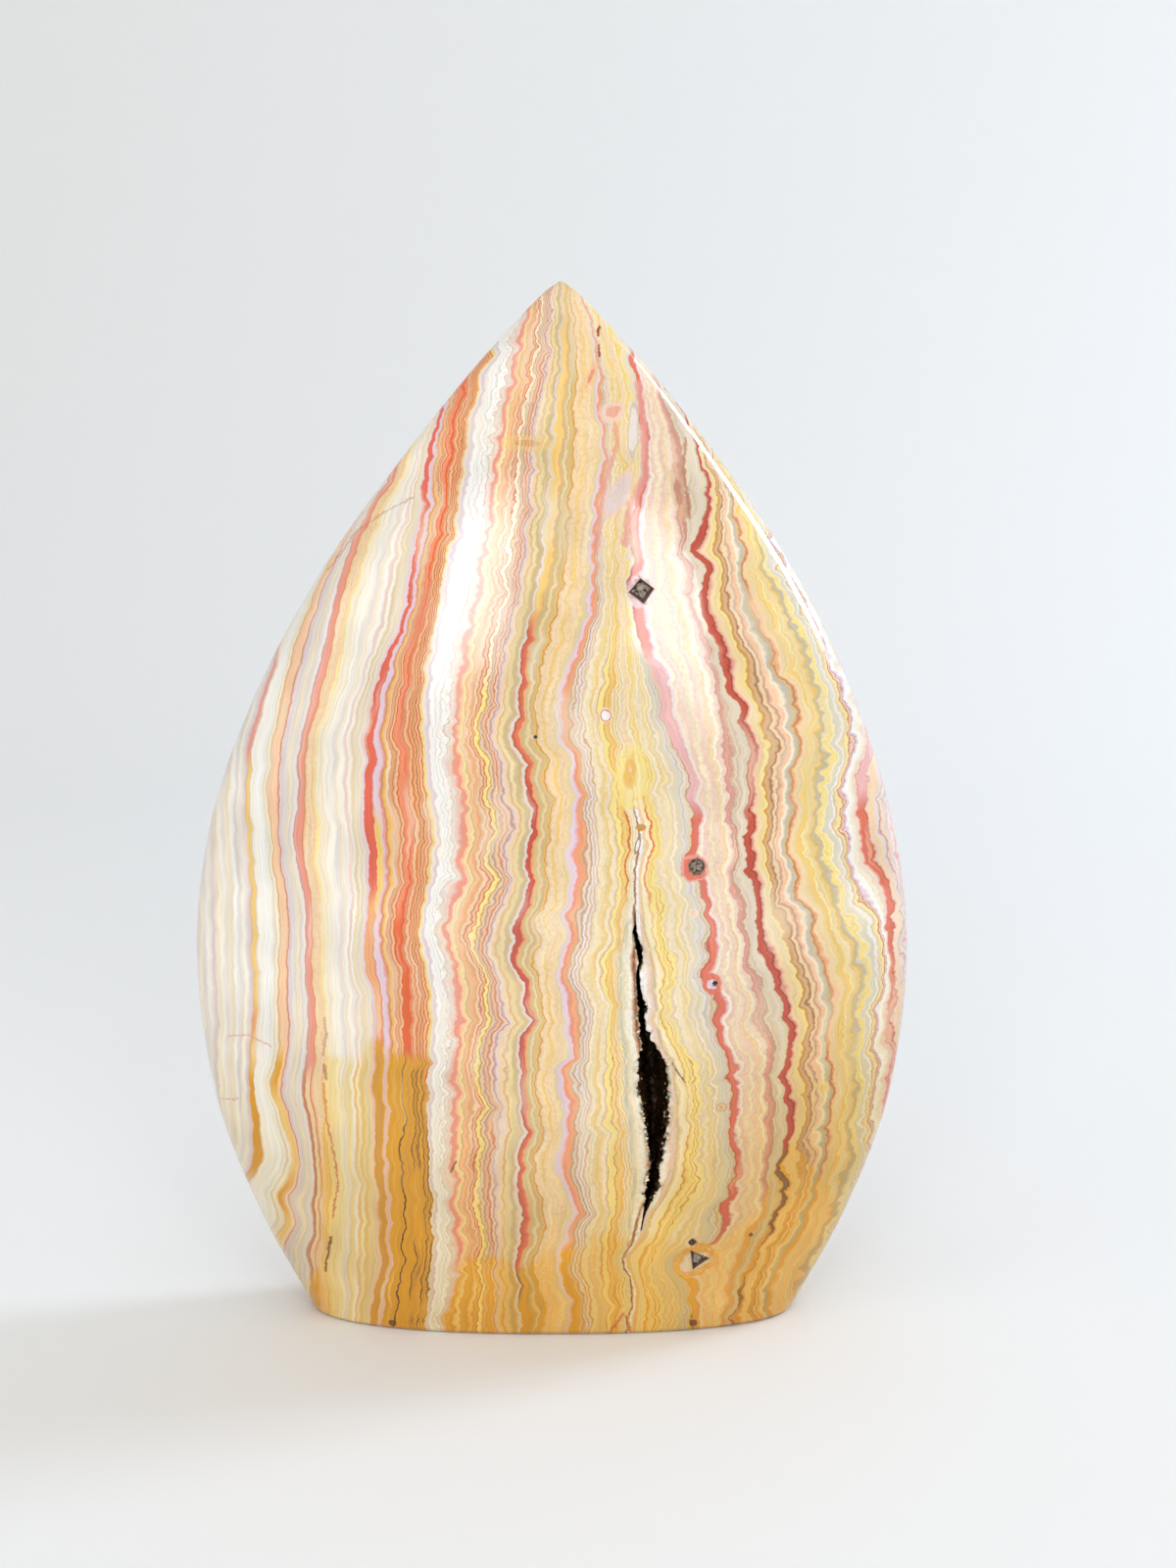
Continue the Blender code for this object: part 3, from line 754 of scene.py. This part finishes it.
# Cracks, crevices and stray ribbons: points along them as across and height, half width, strength, colour
CRACKS = [
    ([(-23.0, 80.5), (-20.0, 84.5), (-17.0, 86.5), (-14.0, 88.0)], 0.13, 0.45, "cocoa"),
    ([(9.0, 99.5), (9.5, 95.0), (9.7, 90.3), (8.2, 87.4), (7.6, 83.5)], 0.5, 0.85, "rose"),
    ([(6.6, 95.4), (6.8, 93.4), (5.6, 89.8), (5.1, 86.9), (4.7, 82.5)], 0.32, 0.75, "rose"),
    ([(13.8, 94.0), (13.6, 91.0), (14.2, 86.0)], 0.2, 0.7, "cocoa"),
    ([(5.0, 105.3), (4.9, 104.3)], 0.16, 1.0, "wine"),
    ([(4.9, 103.4), (5.0, 102.3)], 0.2, 1.0, "wine"),
    ([(-23.3, 35.0), (-23.1, 33.0), (-23.5, 31.0)], 0.17, 0.8, "mauve"),
    ([(-23.4, 30.0), (-23.3, 28.5)], 0.18, 0.8, "cocoa"),
    ([(-23.3, 10.5), (-24.2, 6.2)], 0.18, 0.9, "umber"),
    ([(-23.5, 28.0), (-23.3, 24.0), (-22.6, 20.0), (-22.3, 17.0), (-23.0, 13.0)], 0.14, 0.75, "rust"),
    ([(-35.5, 24.3), (-32.7, 25.2)], 0.1, 0.7, "rose"),
    ([(-34.0, 32.0), (-31.5, 32.4), (-29.0, 31.5)], 0.1, 0.7, "rose"),
    ([(-9.8, 20.0), (-10.4, 18.8)], 0.16, 0.8, "umber"),
    ([(-7.8, 20.0), (-8.0, 19.0)], 0.15, 0.8, "rust"),
    ([(6.0, 0.2), (7.6, 2.4)], 0.2, 0.8, "rust"),
    ([(8.4, 0.2), (7.9, 2.2)], 0.2, 0.8, "rust"),
    ([(8.65, 47.9), (8.55, 50.4), (8.9, 52.4)], 0.12, 0.6, "cocoa"),
    ([(12.5, 30.6), (13.1, 29.6), (13.9, 28.6)], 0.12, 0.8, "umber"),
    ([(8.9, 12.9), (8.5, 11.3), (8.0, 10.3), (7.6, 9.2)], 0.15, 0.7, "cocoa"),
]


def lobes(tree, place, sizes, reach):
    """Rounded lobes with sharp creases between them, the way a band's front grows."""
    far = cells(tree, stretch(tree, place, sizes), 1.0).outputs["Distance"]
    return calc(tree, "MULTIPLY", calc(tree, "SUBTRACT", 0.28, calc(tree, "MULTIPLY", far, far)), reach)


def make_warp():
    """Wavy growth: the place across and up that a point of the stone takes its band from."""
    tree, entry, leave = new_group("Wavy growth", [("Place", "V")], [("Across", "F"), ("Height", "F")])
    place = entry.outputs["Place"]
    parts = tree.nodes.new("ShaderNodeSeparateXYZ")
    feed(tree, parts.inputs[0], place)
    across, behind, height = parts.outputs
    slow = calc(tree, "SUBTRACT", grain(tree, place, 0.045, 1.0, 0.4).outputs[0], 0.5)
    slip = calc(tree, "MULTIPLY", ease(tree, behind, 0.0, 13.0), calc(tree, "MULTIPLY_ADD", slow, 26.0, 3.5))

    wide = grain(tree, stretch(tree, place, (0.14, 0.14, 0.24)), 1.0, 1.0).outputs[0]
    wide = calc(tree, "MULTIPLY", calc(tree, "SUBTRACT", wide, 0.5), 0.6)
    large_lobes = lobes(tree, place, (0.26, 0.2, 0.46), 1.1)
    lobe = calc(tree, "ADD", large_lobes, lobes(tree, place, (0.9, 0.6, 1.5), 0.32))
    lobe = calc(tree, "MULTIPLY", lobe, span(tree, across, 8.0, 10.0, 1.0, -1.0))
    fine = calc(tree, "SUBTRACT", grain(tree, place, 2.6, 1.0, 0.6).outputs[0], 0.5)
    wander = calc(tree, "ADD", wide, calc(tree, "ADD", lobe, calc(tree, "MULTIPLY", fine, 0.25)))
    wildness = ease(tree, across, -25.0, -8.0, 0.35, 0.85)
    wildness = calc(tree, "ADD", wildness, ease(tree, across, 12.0, 22.0, 0.0, 0.3))
    moved = calc(tree, "ADD", calc(tree, "MULTIPLY_ADD", wander, wildness, across), slip)
    feed(tree, leave.inputs["Across"], span(tree, moved, -HALF_SPAN, HALF_SPAN))
    feed(tree, leave.inputs["Height"], span(tree, height, 0.0, TALL_SPAN))
    return tree


def band_stops(bands, melt):
    """Each band as two stops, with a short blend to its neighbour; the stop's alpha is its grain."""
    total = sum(band[1] for band in bands)
    stops = []
    start = 0.0
    for band in bands:
        share = band[1] / total
        sugar = band[2] if len(band) > 2 else 0.0
        colour = (*eight_bit(band[0])[:3], sugar)
        soft = share * 0.45 if melt else min(share * 0.38, 0.025)
        stops.append((start + soft, colour))
        stops.append((start + share - soft, colour))
        start += share
    return stops


def make_bands():
    """The bands: strips between guide lines, each with its own run of colours."""
    tree, entry, leave = new_group("Lace bands", [("Place", "V"), ("Across", "F"), ("Height", "F")],
                                   [("Color", "C"), ("Grain", "F"), ("Layer", "F")])
    place = entry.outputs["Place"]
    across = entry.outputs["Across"]
    height = entry.outputs["Height"]
    names = list(GUIDES)
    lines = []
    for name in names:
        points = [(z / TALL_SPAN, (x + HALF_SPAN) / (2.0 * HALF_SPAN)) for z, x in GUIDES[name]]
        line = curve(tree, height, points, "AUTO_CLAMPED")
        if name in JAGGED:
            size, reach = JAGGED[name]
            crowded = stretch(tree, place, (0.5 / size, 0.4 / size, 1.0 / size))
            teeth = cells(tree, crowded, 1.0).outputs["Distance"]
            push = reach / (2.0 * HALF_SPAN)
            line = calc(tree, "ADD", line, calc(tree, "MULTIPLY", calc(tree, "SUBTRACT", 0.45, teeth), push))
        if lines:
            line = calc(tree, "MAXIMUM", line, calc(tree, "ADD", lines[-1], NARROWEST_STRIP))
        lines.append(line)
    colour = None
    for index, name in enumerate(names[:-1]):
        t = remap(tree, across, lines[index], lines[index + 1])
        strip = ramp(tree, t, band_stops(RECIPES[name], name in SOFT_STRIPS))
        if colour is None:
            colour, sugar, layer = strip.outputs["Color"], strip.outputs["Alpha"], held(tree, t)
            continue
        past = calc(tree, "SUBTRACT", across, lines[index])
        reached = calc(tree, "MULTIPLY_ADD", past, 0.5 / EDGE_BLEND, 0.5)
        colour = mix(tree, reached, colour, strip.outputs["Color"])
        sugar = blend(tree, reached, sugar, strip.outputs["Alpha"])
        layer = blend(tree, reached, layer, calc(tree, "ADD", t, index))
    feed(tree, leave.inputs["Color"], colour)
    feed(tree, leave.inputs["Grain"], sugar)
    feed(tree, leave.inputs["Layer"], layer)
    return tree


def make_stain():
    """Rust stain from the foot upwards: reds and oranges turn to mustard and ochre below an edge."""
    tree, entry, leave = new_group("Rust stain", [("Color", "C"), ("Place", "V"), ("Across", "F")],
                                   [("Color", "C"), ("Rust", "F")])
    colour = entry.outputs["Color"]
    place = entry.outputs["Place"]
    points = [((x + HALF_SPAN) / (2.0 * HALF_SPAN), z / TALL_SPAN) for x, z in STAIN_EDGE]
    edge = calc(tree, "MULTIPLY", curve(tree, entry.outputs["Across"], points, "VECTOR"), TALL_SPAN)
    parts = tree.nodes.new("ShaderNodeSeparateXYZ")
    feed(tree, parts.inputs[0], place)
    over = calc(tree, "SUBTRACT", parts.outputs[2], edge)
    wander = calc(tree, "SUBTRACT", grain(tree, place, 0.4, 2.0).outputs[0], 0.5)
    over = calc(tree, "MULTIPLY_ADD", wander, 3.0, over)
    stained = span(tree, over, -0.8, 0.6, 1.0, 0.0)
    channels = tree.nodes.new("ShaderNodeSeparateColor")
    feed(tree, channels.inputs[0], colour)
    redness = calc(tree, "SUBTRACT", channels.outputs[0], channels.outputs[1])
    amount = calc(tree, "MULTIPLY", stained, ease(tree, redness, 0.08, 0.32))
    depth = calc(tree, "MULTIPLY", channels.outputs[0], 0.25)
    depth = calc(tree, "MULTIPLY_ADD", channels.outputs[1], 0.75, depth)
    ochres = [(0.08, "umber"), (0.26, "bronze"), (0.3, "ochre"), (0.36, "mustard"), (0.6, "mustard"),
              (0.74, "honey"), (0.95, "butter")]
    rusty = ramp(tree, depth, [(place, eight_bit(name)) for place, name in ochres])
    warmth = calc(tree, "SUBTRACT", channels.outputs[1], channels.outputs[2])
    pale = calc(tree, "MULTIPLY", stained, ease(tree, warmth, 0.02, 0.16))
    yellowed = mix(tree, pale, colour, (0.97, 0.88, 0.56, 1.0), "MULTIPLY")
    result = mix(tree, amount, yellowed, rusty.outputs[0])
    feed(tree, leave.inputs["Color"], result)
    feed(tree, leave.inputs["Rust"], amount)
    return tree


def between(tree, value, low, high, soft):
    """Over 1 inside a range, under 0 outside it, and a half at its ends."""
    away = calc(tree, "ABSOLUTE", calc(tree, "SUBTRACT", value, (low + high) / 2.0))
    return calc(tree, "MULTIPLY_ADD", away, -0.5 / soft, (high - low) * 0.25 / soft + 0.5)


def make_changes():
    """Bands that change colour on their way up."""
    tree, entry, leave = new_group("Changes up the stone", [("Color", "C"), ("Layer", "F"), ("Height", "F")],
                                   [("Color", "C")])
    colour = entry.outputs["Color"]
    names = list(GUIDES)
    height = calc(tree, "MULTIPLY", entry.outputs["Height"], TALL_SPAN)
    heights = {}
    for strip, start, end, low, high, name in CHANGES:
        if (low, high) not in heights:
            heights[low, high] = between(tree, height, low, high, CHANGE_BLEND)
        middle = names.index(strip) + (start + end) / 2.0
        inside = calc(tree, "COMPARE", entry.outputs["Layer"], middle, (end - start) / 2.0)
        colour = mix(tree, calc(tree, "MULTIPLY", inside, heights[low, high]), colour, eight_bit(name))
    feed(tree, leave.inputs["Color"], colour)
    return tree


def ring_stops(rings, strength):
    """Rings of colour outwards as ramp stops; the alpha is how strongly they cover the bands."""
    stops = []
    inner = 0.0
    for name, outer in rings:
        colour = (*eight_bit(name)[:3], strength)
        stops.append((inner + RING_BLEND if inner else 0.0, colour))
        stops.append((outer - (0.2 if outer == 1.0 else RING_BLEND), colour))
        inner = outer
    stops.append((1.0, (*colour[:3], 0.0)))
    return stops


def make_spots():
    """Eyes and rings that interrupt the bands on the front."""
    tree, entry, leave = new_group("Eyes and rings", [("Color", "C"), ("Place", "V"), ("Front", "F")],
                                   [("Color", "C")])
    colour = entry.outputs["Color"]
    place = entry.outputs["Place"]
    ripple = calc(tree, "MULTIPLY", calc(tree, "SUBTRACT", grain(tree, place, 0.9, 3.0).outputs[0], 0.5), 0.9)
    for across, height, wide, tall, slant, strength, rings in SPOTS.values():
        if slant:
            offset = vector(tree, "SUBTRACT", place, (across, 0.0, height))
            sideways = vector(tree, "DOT_PRODUCT", offset, (1.0 / wide, 0.0, -slant / wide))
            upwards = vector(tree, "DOT_PRODUCT", offset, (0.0, 0.0, 1.0 / tall))
            squares = calc(tree, "MULTIPLY_ADD", sideways, sideways, calc(tree, "MULTIPLY", upwards, upwards))
            distance = calc(tree, "SQRT", squares)
        else:
            shift = (-across / wide, 0.0, -height / tall)
            local = vector(tree, "MULTIPLY_ADD", place, (1.0 / wide, 0.0, 1.0 / tall), shift)
            distance = vector(tree, "LENGTH", local)
        look = ramp(tree, calc(tree, "ADD", distance, ripple), ring_stops(rings, strength))
        colour = mix(tree, look.outputs["Alpha"], colour, look.outputs["Color"])
    feed(tree, leave.inputs["Color"], mix(tree, entry.outputs["Front"], entry.outputs["Color"], colour))
    return tree


def stroke_distance(tree, place, start, end, width):
    """How far a place is from a straight stroke between two points, in half widths of the stroke."""
    run = (end[0] - start[0], end[1] - start[1])
    reach = math.hypot(*run) / 2.0 / width
    local = tree.nodes.new("ShaderNodeMapping")
    local.vector_type = "TEXTURE"
    local.inputs["Location"].default_value = ((start[0] + end[0]) / 2.0, 0.0, (start[1] + end[1]) / 2.0)
    local.inputs["Rotation"].default_value = (0.0, math.atan2(*run), 0.0)
    local.inputs["Scale"].default_value = (width, width, width)
    feed(tree, local.inputs["Vector"], place)
    beyond = vector(tree, "SUBTRACT", vector(tree, "ABSOLUTE", local.outputs[0]), (0.0, 0.0, reach))
    return vector(tree, "LENGTH", vector(tree, "MAXIMUM", beyond, (0.0, 0.0, 0.0)))


def make_cracks():
    """Hairline cracks and crevices on the front."""
    tree, entry, leave = new_group("Cracks", [("Color", "C"), ("Place", "V"), ("Front", "F")],
                                   [("Color", "C")])
    jitter = grain(tree, entry.outputs["Place"], 1.6, 2.0, 0.7).outputs["Color"]
    jitter = vector(tree, "SUBTRACT", jitter, (0.5, 0.5, 0.5))
    place = vector(tree, "ADD", entry.outputs["Place"], stretch(tree, jitter, (0.7, 0.0, 0.7)))
    place = stretch(tree, place, (1.0, 0.0, 1.0))
    colour = entry.outputs["Color"]
    for points, width, strength, name in CRACKS:
        nearest = None
        for start, end in zip(points, points[1:]):
            distance = stroke_distance(tree, place, start, end, width)
            nearest = distance if nearest is None else calc(tree, "MINIMUM", nearest, distance)
        crack = calc(tree, "MINIMUM", remap(tree, nearest, CRACK_CORE, CRACK_END, strength, 0.0), strength)
        colour = mix(tree, crack, colour, eight_bit(name))
    feed(tree, leave.inputs["Color"], mix(tree, entry.outputs["Front"], entry.outputs["Color"], colour))
    return tree


def add_sugar(tree, colour, place, sugar):
    """Tan hollows and milky flecks where the quartz is sugary."""
    crystals = cells(tree, place, 2.6)
    hollows = ease(tree, crystals.outputs["Distance"], 0.45, 0.85)
    shade = calc(tree, "MULTIPLY", sugar, calc(tree, "MULTIPLY", hollows, 0.3))
    colour = mix(tree, shade, colour, eight_bit("tan"))
    flecks = ease(tree, grain(tree, place, 3.4, 2.0, 0.7).outputs[0], 0.6, 0.72)
    sparkle = calc(tree, "MULTIPLY", sugar, calc(tree, "MULTIPLY", flecks, 0.55))
    return mix(tree, sparkle, colour, eight_bit("milk"))


def add_foot_shade(tree, colour, across, height, rust):
    """Painted shade: a warm darkening that deepens towards the foot and the right, weaker over the rust
    stain.
    """
    sunk = calc(tree, "SUBTRACT", height, ease(tree, across, 0.55, 0.8, 0.0, 14.0))
    sunk = calc(tree, "SUBTRACT", sunk, ease(tree, across, 0.48, 0.36, 0.0, 8.0))
    # How strongly the painted shade darkens each place: most at the foot and towards the right.
    honey = calc(tree, "MULTIPLY", ease(tree, sunk, 33.0, 2.0), ease(tree, across, 0.05, 0.85, 0.52, 1.0))
    honey = calc(tree, "MULTIPLY", honey, calc(tree, "MULTIPLY_ADD", rust, -0.55, 1.0))
    return mix(tree, honey, colour, (0.79, 0.65, 0.35, 1.0), "MULTIPLY")


def add_shades(tree, colour, place, layers):
    """Lighter and darker layers and clouds."""
    clouds = grain(tree, place, 0.16, 2.0).outputs[0]
    light = span(tree, layers, 0.25, 0.75, -0.17, 0.1)
    light = calc(tree, "ADD", light, span(tree, clouds, 0.2, 0.8, -0.1, 0.08))
    value = tree.nodes.new("ShaderNodeHueSaturation")
    feed(tree, value.inputs["Value"], calc(tree, "ADD", light, 1.0))
    feed(tree, value.inputs["Color"], colour)
    return value.outputs[0]


def make_agate():
    """The polished stone: lace bands, stain, fine layers, sugary grain and soft clouds under a gloss, with
    painted shade towards the foot.
    """
    material = new_material("Polished lace agate")
    tree = material.node_tree
    shader = tree.nodes["Principled BSDF"]
    where = tree.nodes.new("ShaderNodeTexCoord").outputs["Object"]
    place = vector(tree, "SCALE", where)
    place.node.inputs["Scale"].default_value = 1.0 / MM
    parts = tree.nodes.new("ShaderNodeSeparateXYZ")
    feed(tree, parts.inputs[0], place)
    front = span(tree, parts.outputs[1], -1.5, -0.5, 1.0, 0.0)
    warp = use_group(tree, make_warp(), Place=place)
    across = warp.outputs["Across"]
    bands = use_group(tree, make_bands(), Place=place, Across=across, Height=warp.outputs["Height"])
    layer = bands.outputs["Layer"]
    changed = use_group(tree, make_changes(), Color=bands.outputs["Color"], Layer=layer,
                        Height=warp.outputs["Height"])
    colour = changed.outputs["Color"]

    run = tree.nodes.new("ShaderNodeCombineXYZ")
    feed(tree, run.inputs[0], calc(tree, "MULTIPLY", layer, 17.0))
    feed(tree, run.inputs[1], calc(tree, "MULTIPLY", warp.outputs["Height"], 14.0))
    layers = grain(tree, run.outputs[0], 1.0, 2.0, 0.6).outputs[0]
    slow_run = stretch(tree, run.outputs[0], (0.22, 0.8, 1.0))
    drift = grain(tree, slow_run, 1.0, 1.0, 0.5, (7.0, 3.0, 0.0)).outputs[0]
    colour = mix(tree, ease(tree, drift, 0.52, 0.72, 0.0, 0.45), colour, eight_bit("cream"))
    stain = use_group(tree, make_stain(), Color=colour, Place=place, Across=across)
    colour = stain.outputs["Color"]
    colour = use_group(tree, make_spots(), Color=colour, Place=place, Front=front).outputs["Color"]
    cracks = use_group(tree, make_cracks(), Color=colour, Place=place, Front=front)
    colour = cracks.outputs["Color"]

    sugar = bands.outputs["Grain"]
    colour = add_sugar(tree, colour, place, sugar)
    # Painted shade: darker and warmer towards the foot and the right.
    colour = add_foot_shade(tree, colour, across, parts.outputs[2], stain.outputs["Rust"])
    feed(tree, shader.inputs["Base Color"], add_shades(tree, colour, place, layers))
    bump = tree.nodes.new("ShaderNodeBump")
    bump.inputs["Strength"].default_value = 0.5
    bump.inputs["Distance"].default_value = 0.04 * MM
    feed(tree, bump.inputs["Height"], grain(tree, place, 0.32, 2.0).outputs[0])
    feed(tree, shader.inputs["Normal"], bump.outputs[0])
    feed(tree, shader.inputs["Roughness"], calc(tree, "MULTIPLY_ADD", sugar, 0.08, 0.06))
    shader.inputs["IOR"].default_value = STONE_IOR
    return material


def quartz_shader(name, outside, inside, edge):
    """Tiny quartz grains whose colours change over a depth behind the face, going dark inwards as painted
    shade.
    """
    material = new_material(name)
    tree = material.node_tree
    shader = tree.nodes["Principled BSDF"]
    where = tree.nodes.new("ShaderNodeTexCoord").outputs["Object"]
    place = vector(tree, "SCALE", where)
    place.node.inputs["Scale"].default_value = 1.0 / MM
    parts = tree.nodes.new("ShaderNodeSeparateXYZ")
    feed(tree, parts.inputs[0], place)
    specks = cells(tree, place, 2.4).outputs["Distance"]
    shares = (0.0, 0.35, 0.65, 0.95)
    tone = ramp(tree, specks, [(share, eight_bit(colour)) for share, colour in zip(shares, outside)])
    # Painted shade: behind the face the grains blend into dark inner patches, darker than the quartz's own
    # colour.
    depth = ease(tree, parts.outputs[1], *edge)
    patches = grain(tree, place, 0.3, 2.0).outputs[0]
    stain = ramp(tree, patches, [(0.35, eight_bit(inside[0])), (0.65, eight_bit(inside[1]))])
    feed(tree, shader.inputs["Base Color"], mix(tree, depth, tone.outputs[0], stain.outputs[0]))
    bump = tree.nodes.new("ShaderNodeBump")
    bump.invert = True
    bump.inputs["Strength"].default_value = 0.7
    bump.inputs["Distance"].default_value = 0.2 * MM
    feed(tree, bump.inputs["Height"], specks)
    feed(tree, shader.inputs["Normal"], bump.outputs[0])
    shader.inputs["Roughness"].default_value = 0.3
    shader.inputs["IOR"].default_value = STONE_IOR
    return material


def make_quartz():
    """The crust round the fissure: grey-green and white at its rim, dark brown inside, its own brown darkened
    there as painted shade.
    """
    outside = ("white", "chalk", "sage", "tan")
    return quartz_shader("Quartz crust", outside, ("peat", "bark"), (-12.4, -10.2))


def make_pit_quartz():
    """The walls of the pits: grey quartz that darkens inwards as painted shade."""
    outside = ("chalk", "pewter", "smoke", "umber")
    return quartz_shader("Pit quartz", outside, ("slate", "umber"), (-13.2, -10.4))


def make_crystal(name, colour):
    material = new_material(name)
    shader = material.node_tree.nodes["Principled BSDF"]
    shader.inputs["Base Color"].default_value = eight_bit(colour)
    shader.inputs["Roughness"].default_value = 0.08
    shader.inputs["IOR"].default_value = STONE_IOR
    return material


def make_floor():
    material = new_material("Pale floor")
    shader = material.node_tree.nodes["Principled BSDF"]
    shader.inputs["Base Color"].default_value = (0.86, 0.86, 0.85, 1.0)
    shader.inputs["Roughness"].default_value = 0.8
    return material


def add_camera():
    data = bpy.data.cameras.new("Camera")
    data.lens = 52.0
    data.sensor_width = 36.0
    data.dof.use_dof = False
    camera = bpy.data.objects.new("Camera", data)
    camera.location = (3.849 * MM, -237.751 * MM, 93.658 * MM)
    camera.rotation_euler = (math.radians(90.0 - 8.6), 0.0, 0.0)
    bpy.context.scene.collection.objects.link(camera)
    bpy.context.scene.camera = camera


def add_area_light(name, place, target, width, height, watts, colour=(1.0, 1.0, 1.0), turn=0.0, blur=0.0):
    """A soft panel of light at one place, facing a target, both in millimetres; blur fades its edges."""
    data = bpy.data.lights.new(name, "AREA")
    data.shape = "RECTANGLE"
    data.size = width * MM
    data.size_y = height * MM
    data.energy = watts
    data.color = colour
    if blur:
        fade_edges(data, blur)
    light = bpy.data.objects.new(name, data)
    light.location = Vector(place) * MM
    facing = (Vector(target) - Vector(place)).normalized()
    quaternion = facing.to_track_quat("-Z", "Y") @ Quaternion((0.0, 0.0, 1.0), math.radians(turn))
    light.rotation_euler = quaternion.to_euler()
    bpy.context.scene.collection.objects.link(light)


def fade_edges(data, blur):
    """Let a panel's light fall off towards its edges, over a share of its width."""
    data.use_nodes = True
    tree = data.node_tree
    parts = tree.nodes.new("ShaderNodeSeparateXYZ")
    feed(tree, parts.inputs[0], tree.nodes.new("ShaderNodeNewGeometry").outputs["Parametric"])
    strength = 1.0
    for part in parts.outputs[:2]:
        inwards = calc(tree, "SUBTRACT", 0.5, calc(tree, "ABSOLUTE", calc(tree, "SUBTRACT", part, 0.5)))
        strength = calc(tree, "MULTIPLY", ease(tree, inwards, 0.0, blur), strength)
    feed(tree, tree.nodes["Emission"].inputs["Strength"], strength)


def panel_seen_at(name, azimuth, elevation, distance, width, height, watts, **look):
    """A panel in the direction that the polished face mirrors, measured from the stone's upper part."""
    centre = Vector((4.0, -9.0, 72.0))
    a = math.radians(azimuth)
    e = math.radians(elevation)
    away = Vector((math.sin(a) * math.cos(e), -math.cos(a) * math.cos(e), math.sin(e)))
    add_area_light(name, centre + away * distance, centre, width, height, watts, **look)


def add_lights():
    daylight = (0.9, 0.96, 1.0)
    panel_seen_at("Left window", -14.0, 20.0, 900.0, 290.0, 360.0, 3.1,
                  colour=daylight, turn=8.0, blur=0.35)
    panel_seen_at("Right window", 18.5, 18.5, 900.0, 240.0, 280.0, 1.5,
                  colour=daylight, turn=-20.0, blur=0.06)
    add_area_light("Side softbox", (-620.0, -420.0, 320.0), (0.0, 0.0, 50.0), 500.0, 600.0, 1.1, blur=0.5)
    add_area_light("Rim light", (800.0, 330.0, 560.0), (20.0, -4.0, 80.0), 320.0, 600.0, 9.0,
                   colour=(0.7, 0.82, 1.0), blur=0.3)
    add_area_light("Top softbox", (0.0, -300.0, 700.0), (0.0, 0.0, 50.0), 700.0, 500.0, 1.0)


def add_world():
    world = bpy.data.worlds.new("Soft room")
    world.use_nodes = True
    background = world.node_tree.nodes["Background"]
    background.inputs["Color"].default_value = (1.0, 0.98, 0.95, 1.0)
    background.inputs["Strength"].default_value = 0.545
    bpy.context.scene.world = world


def add_floor(material):
    """A pale floor that runs up into a backdrop well behind the stone."""
    bm = bmesh.new()
    bmesh.ops.create_grid(bm, x_segments=1, y_segments=1, size=1.0)
    bmesh.ops.scale(bm, vec=(1.5, 1.0, 1.0), verts=bm.verts)
    bmesh.ops.translate(bm, vec=(0.0, -0.4, 0.0), verts=bm.verts)
    edge = [e for e in bm.edges if all(v.co.y > 0.5 for v in e.verts)]
    raised = bmesh.ops.extrude_edge_only(bm, edges=edge)
    corners = [v for v in raised["geom"] if isinstance(v, bmesh.types.BMVert)]
    bmesh.ops.translate(bm, vec=(0.0, 0.0, 1.2), verts=corners)
    bmesh.ops.bevel(bm, geom=edge, offset=0.25, segments=12, profile=0.5, affect="EDGES", material=-1)
    floor = new_piece("Floor", bm, material, 80.0)


def build():
    agate = make_agate()
    quartz = make_quartz()
    pit_quartz = make_pit_quartz()

    stone = new_piece("Polished_flame", flame_mesh(), agate, 50.0)
    hollow = hollow_mesh(1, 2, HOLLOW_DEPTH, 0.0, 56, 180, 0.1, 0.8)
    cut(stone, new_piece("Hollow", hollow, quartz))
    for name, pit in PITS.items():
        cut(stone, new_piece(name, pit_mesh(*pit), pit_quartz))
    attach(stone, "root")
    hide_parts("agate_flame")

    crust = new_piece("Fissure_crust", hollow_mesh(1, 2, HOLLOW_DEPTH, 0.03, 56, 180, 0.1, 0.8), quartz)
    cut(crust, new_piece("Face", flame_mesh(), agate), "INTERSECT")
    mouth = hollow_mesh(3, 4, MOUTH_DEPTH, 0.1, 64, 420, 0.36, 0.8)
    cut(crust, new_piece("Mouth", mouth, quartz))
    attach(crust, "root")
    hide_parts("fissure_druse")

    growths = (("Wall_crystals", wall_crystals, "ivory"), ("Pit_crystals", pit_crystals, "pewter"))
    for name, grow, colour in growths:
        points = new_piece(name, grow(), make_crystal(name.replace("_", " "), colour), 5.0)
        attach(points, "root")

    add_floor(make_floor())
    add_world()
    add_lights()
    add_camera()


bpy.context.scene.view_settings.view_transform = "Standard"
build()
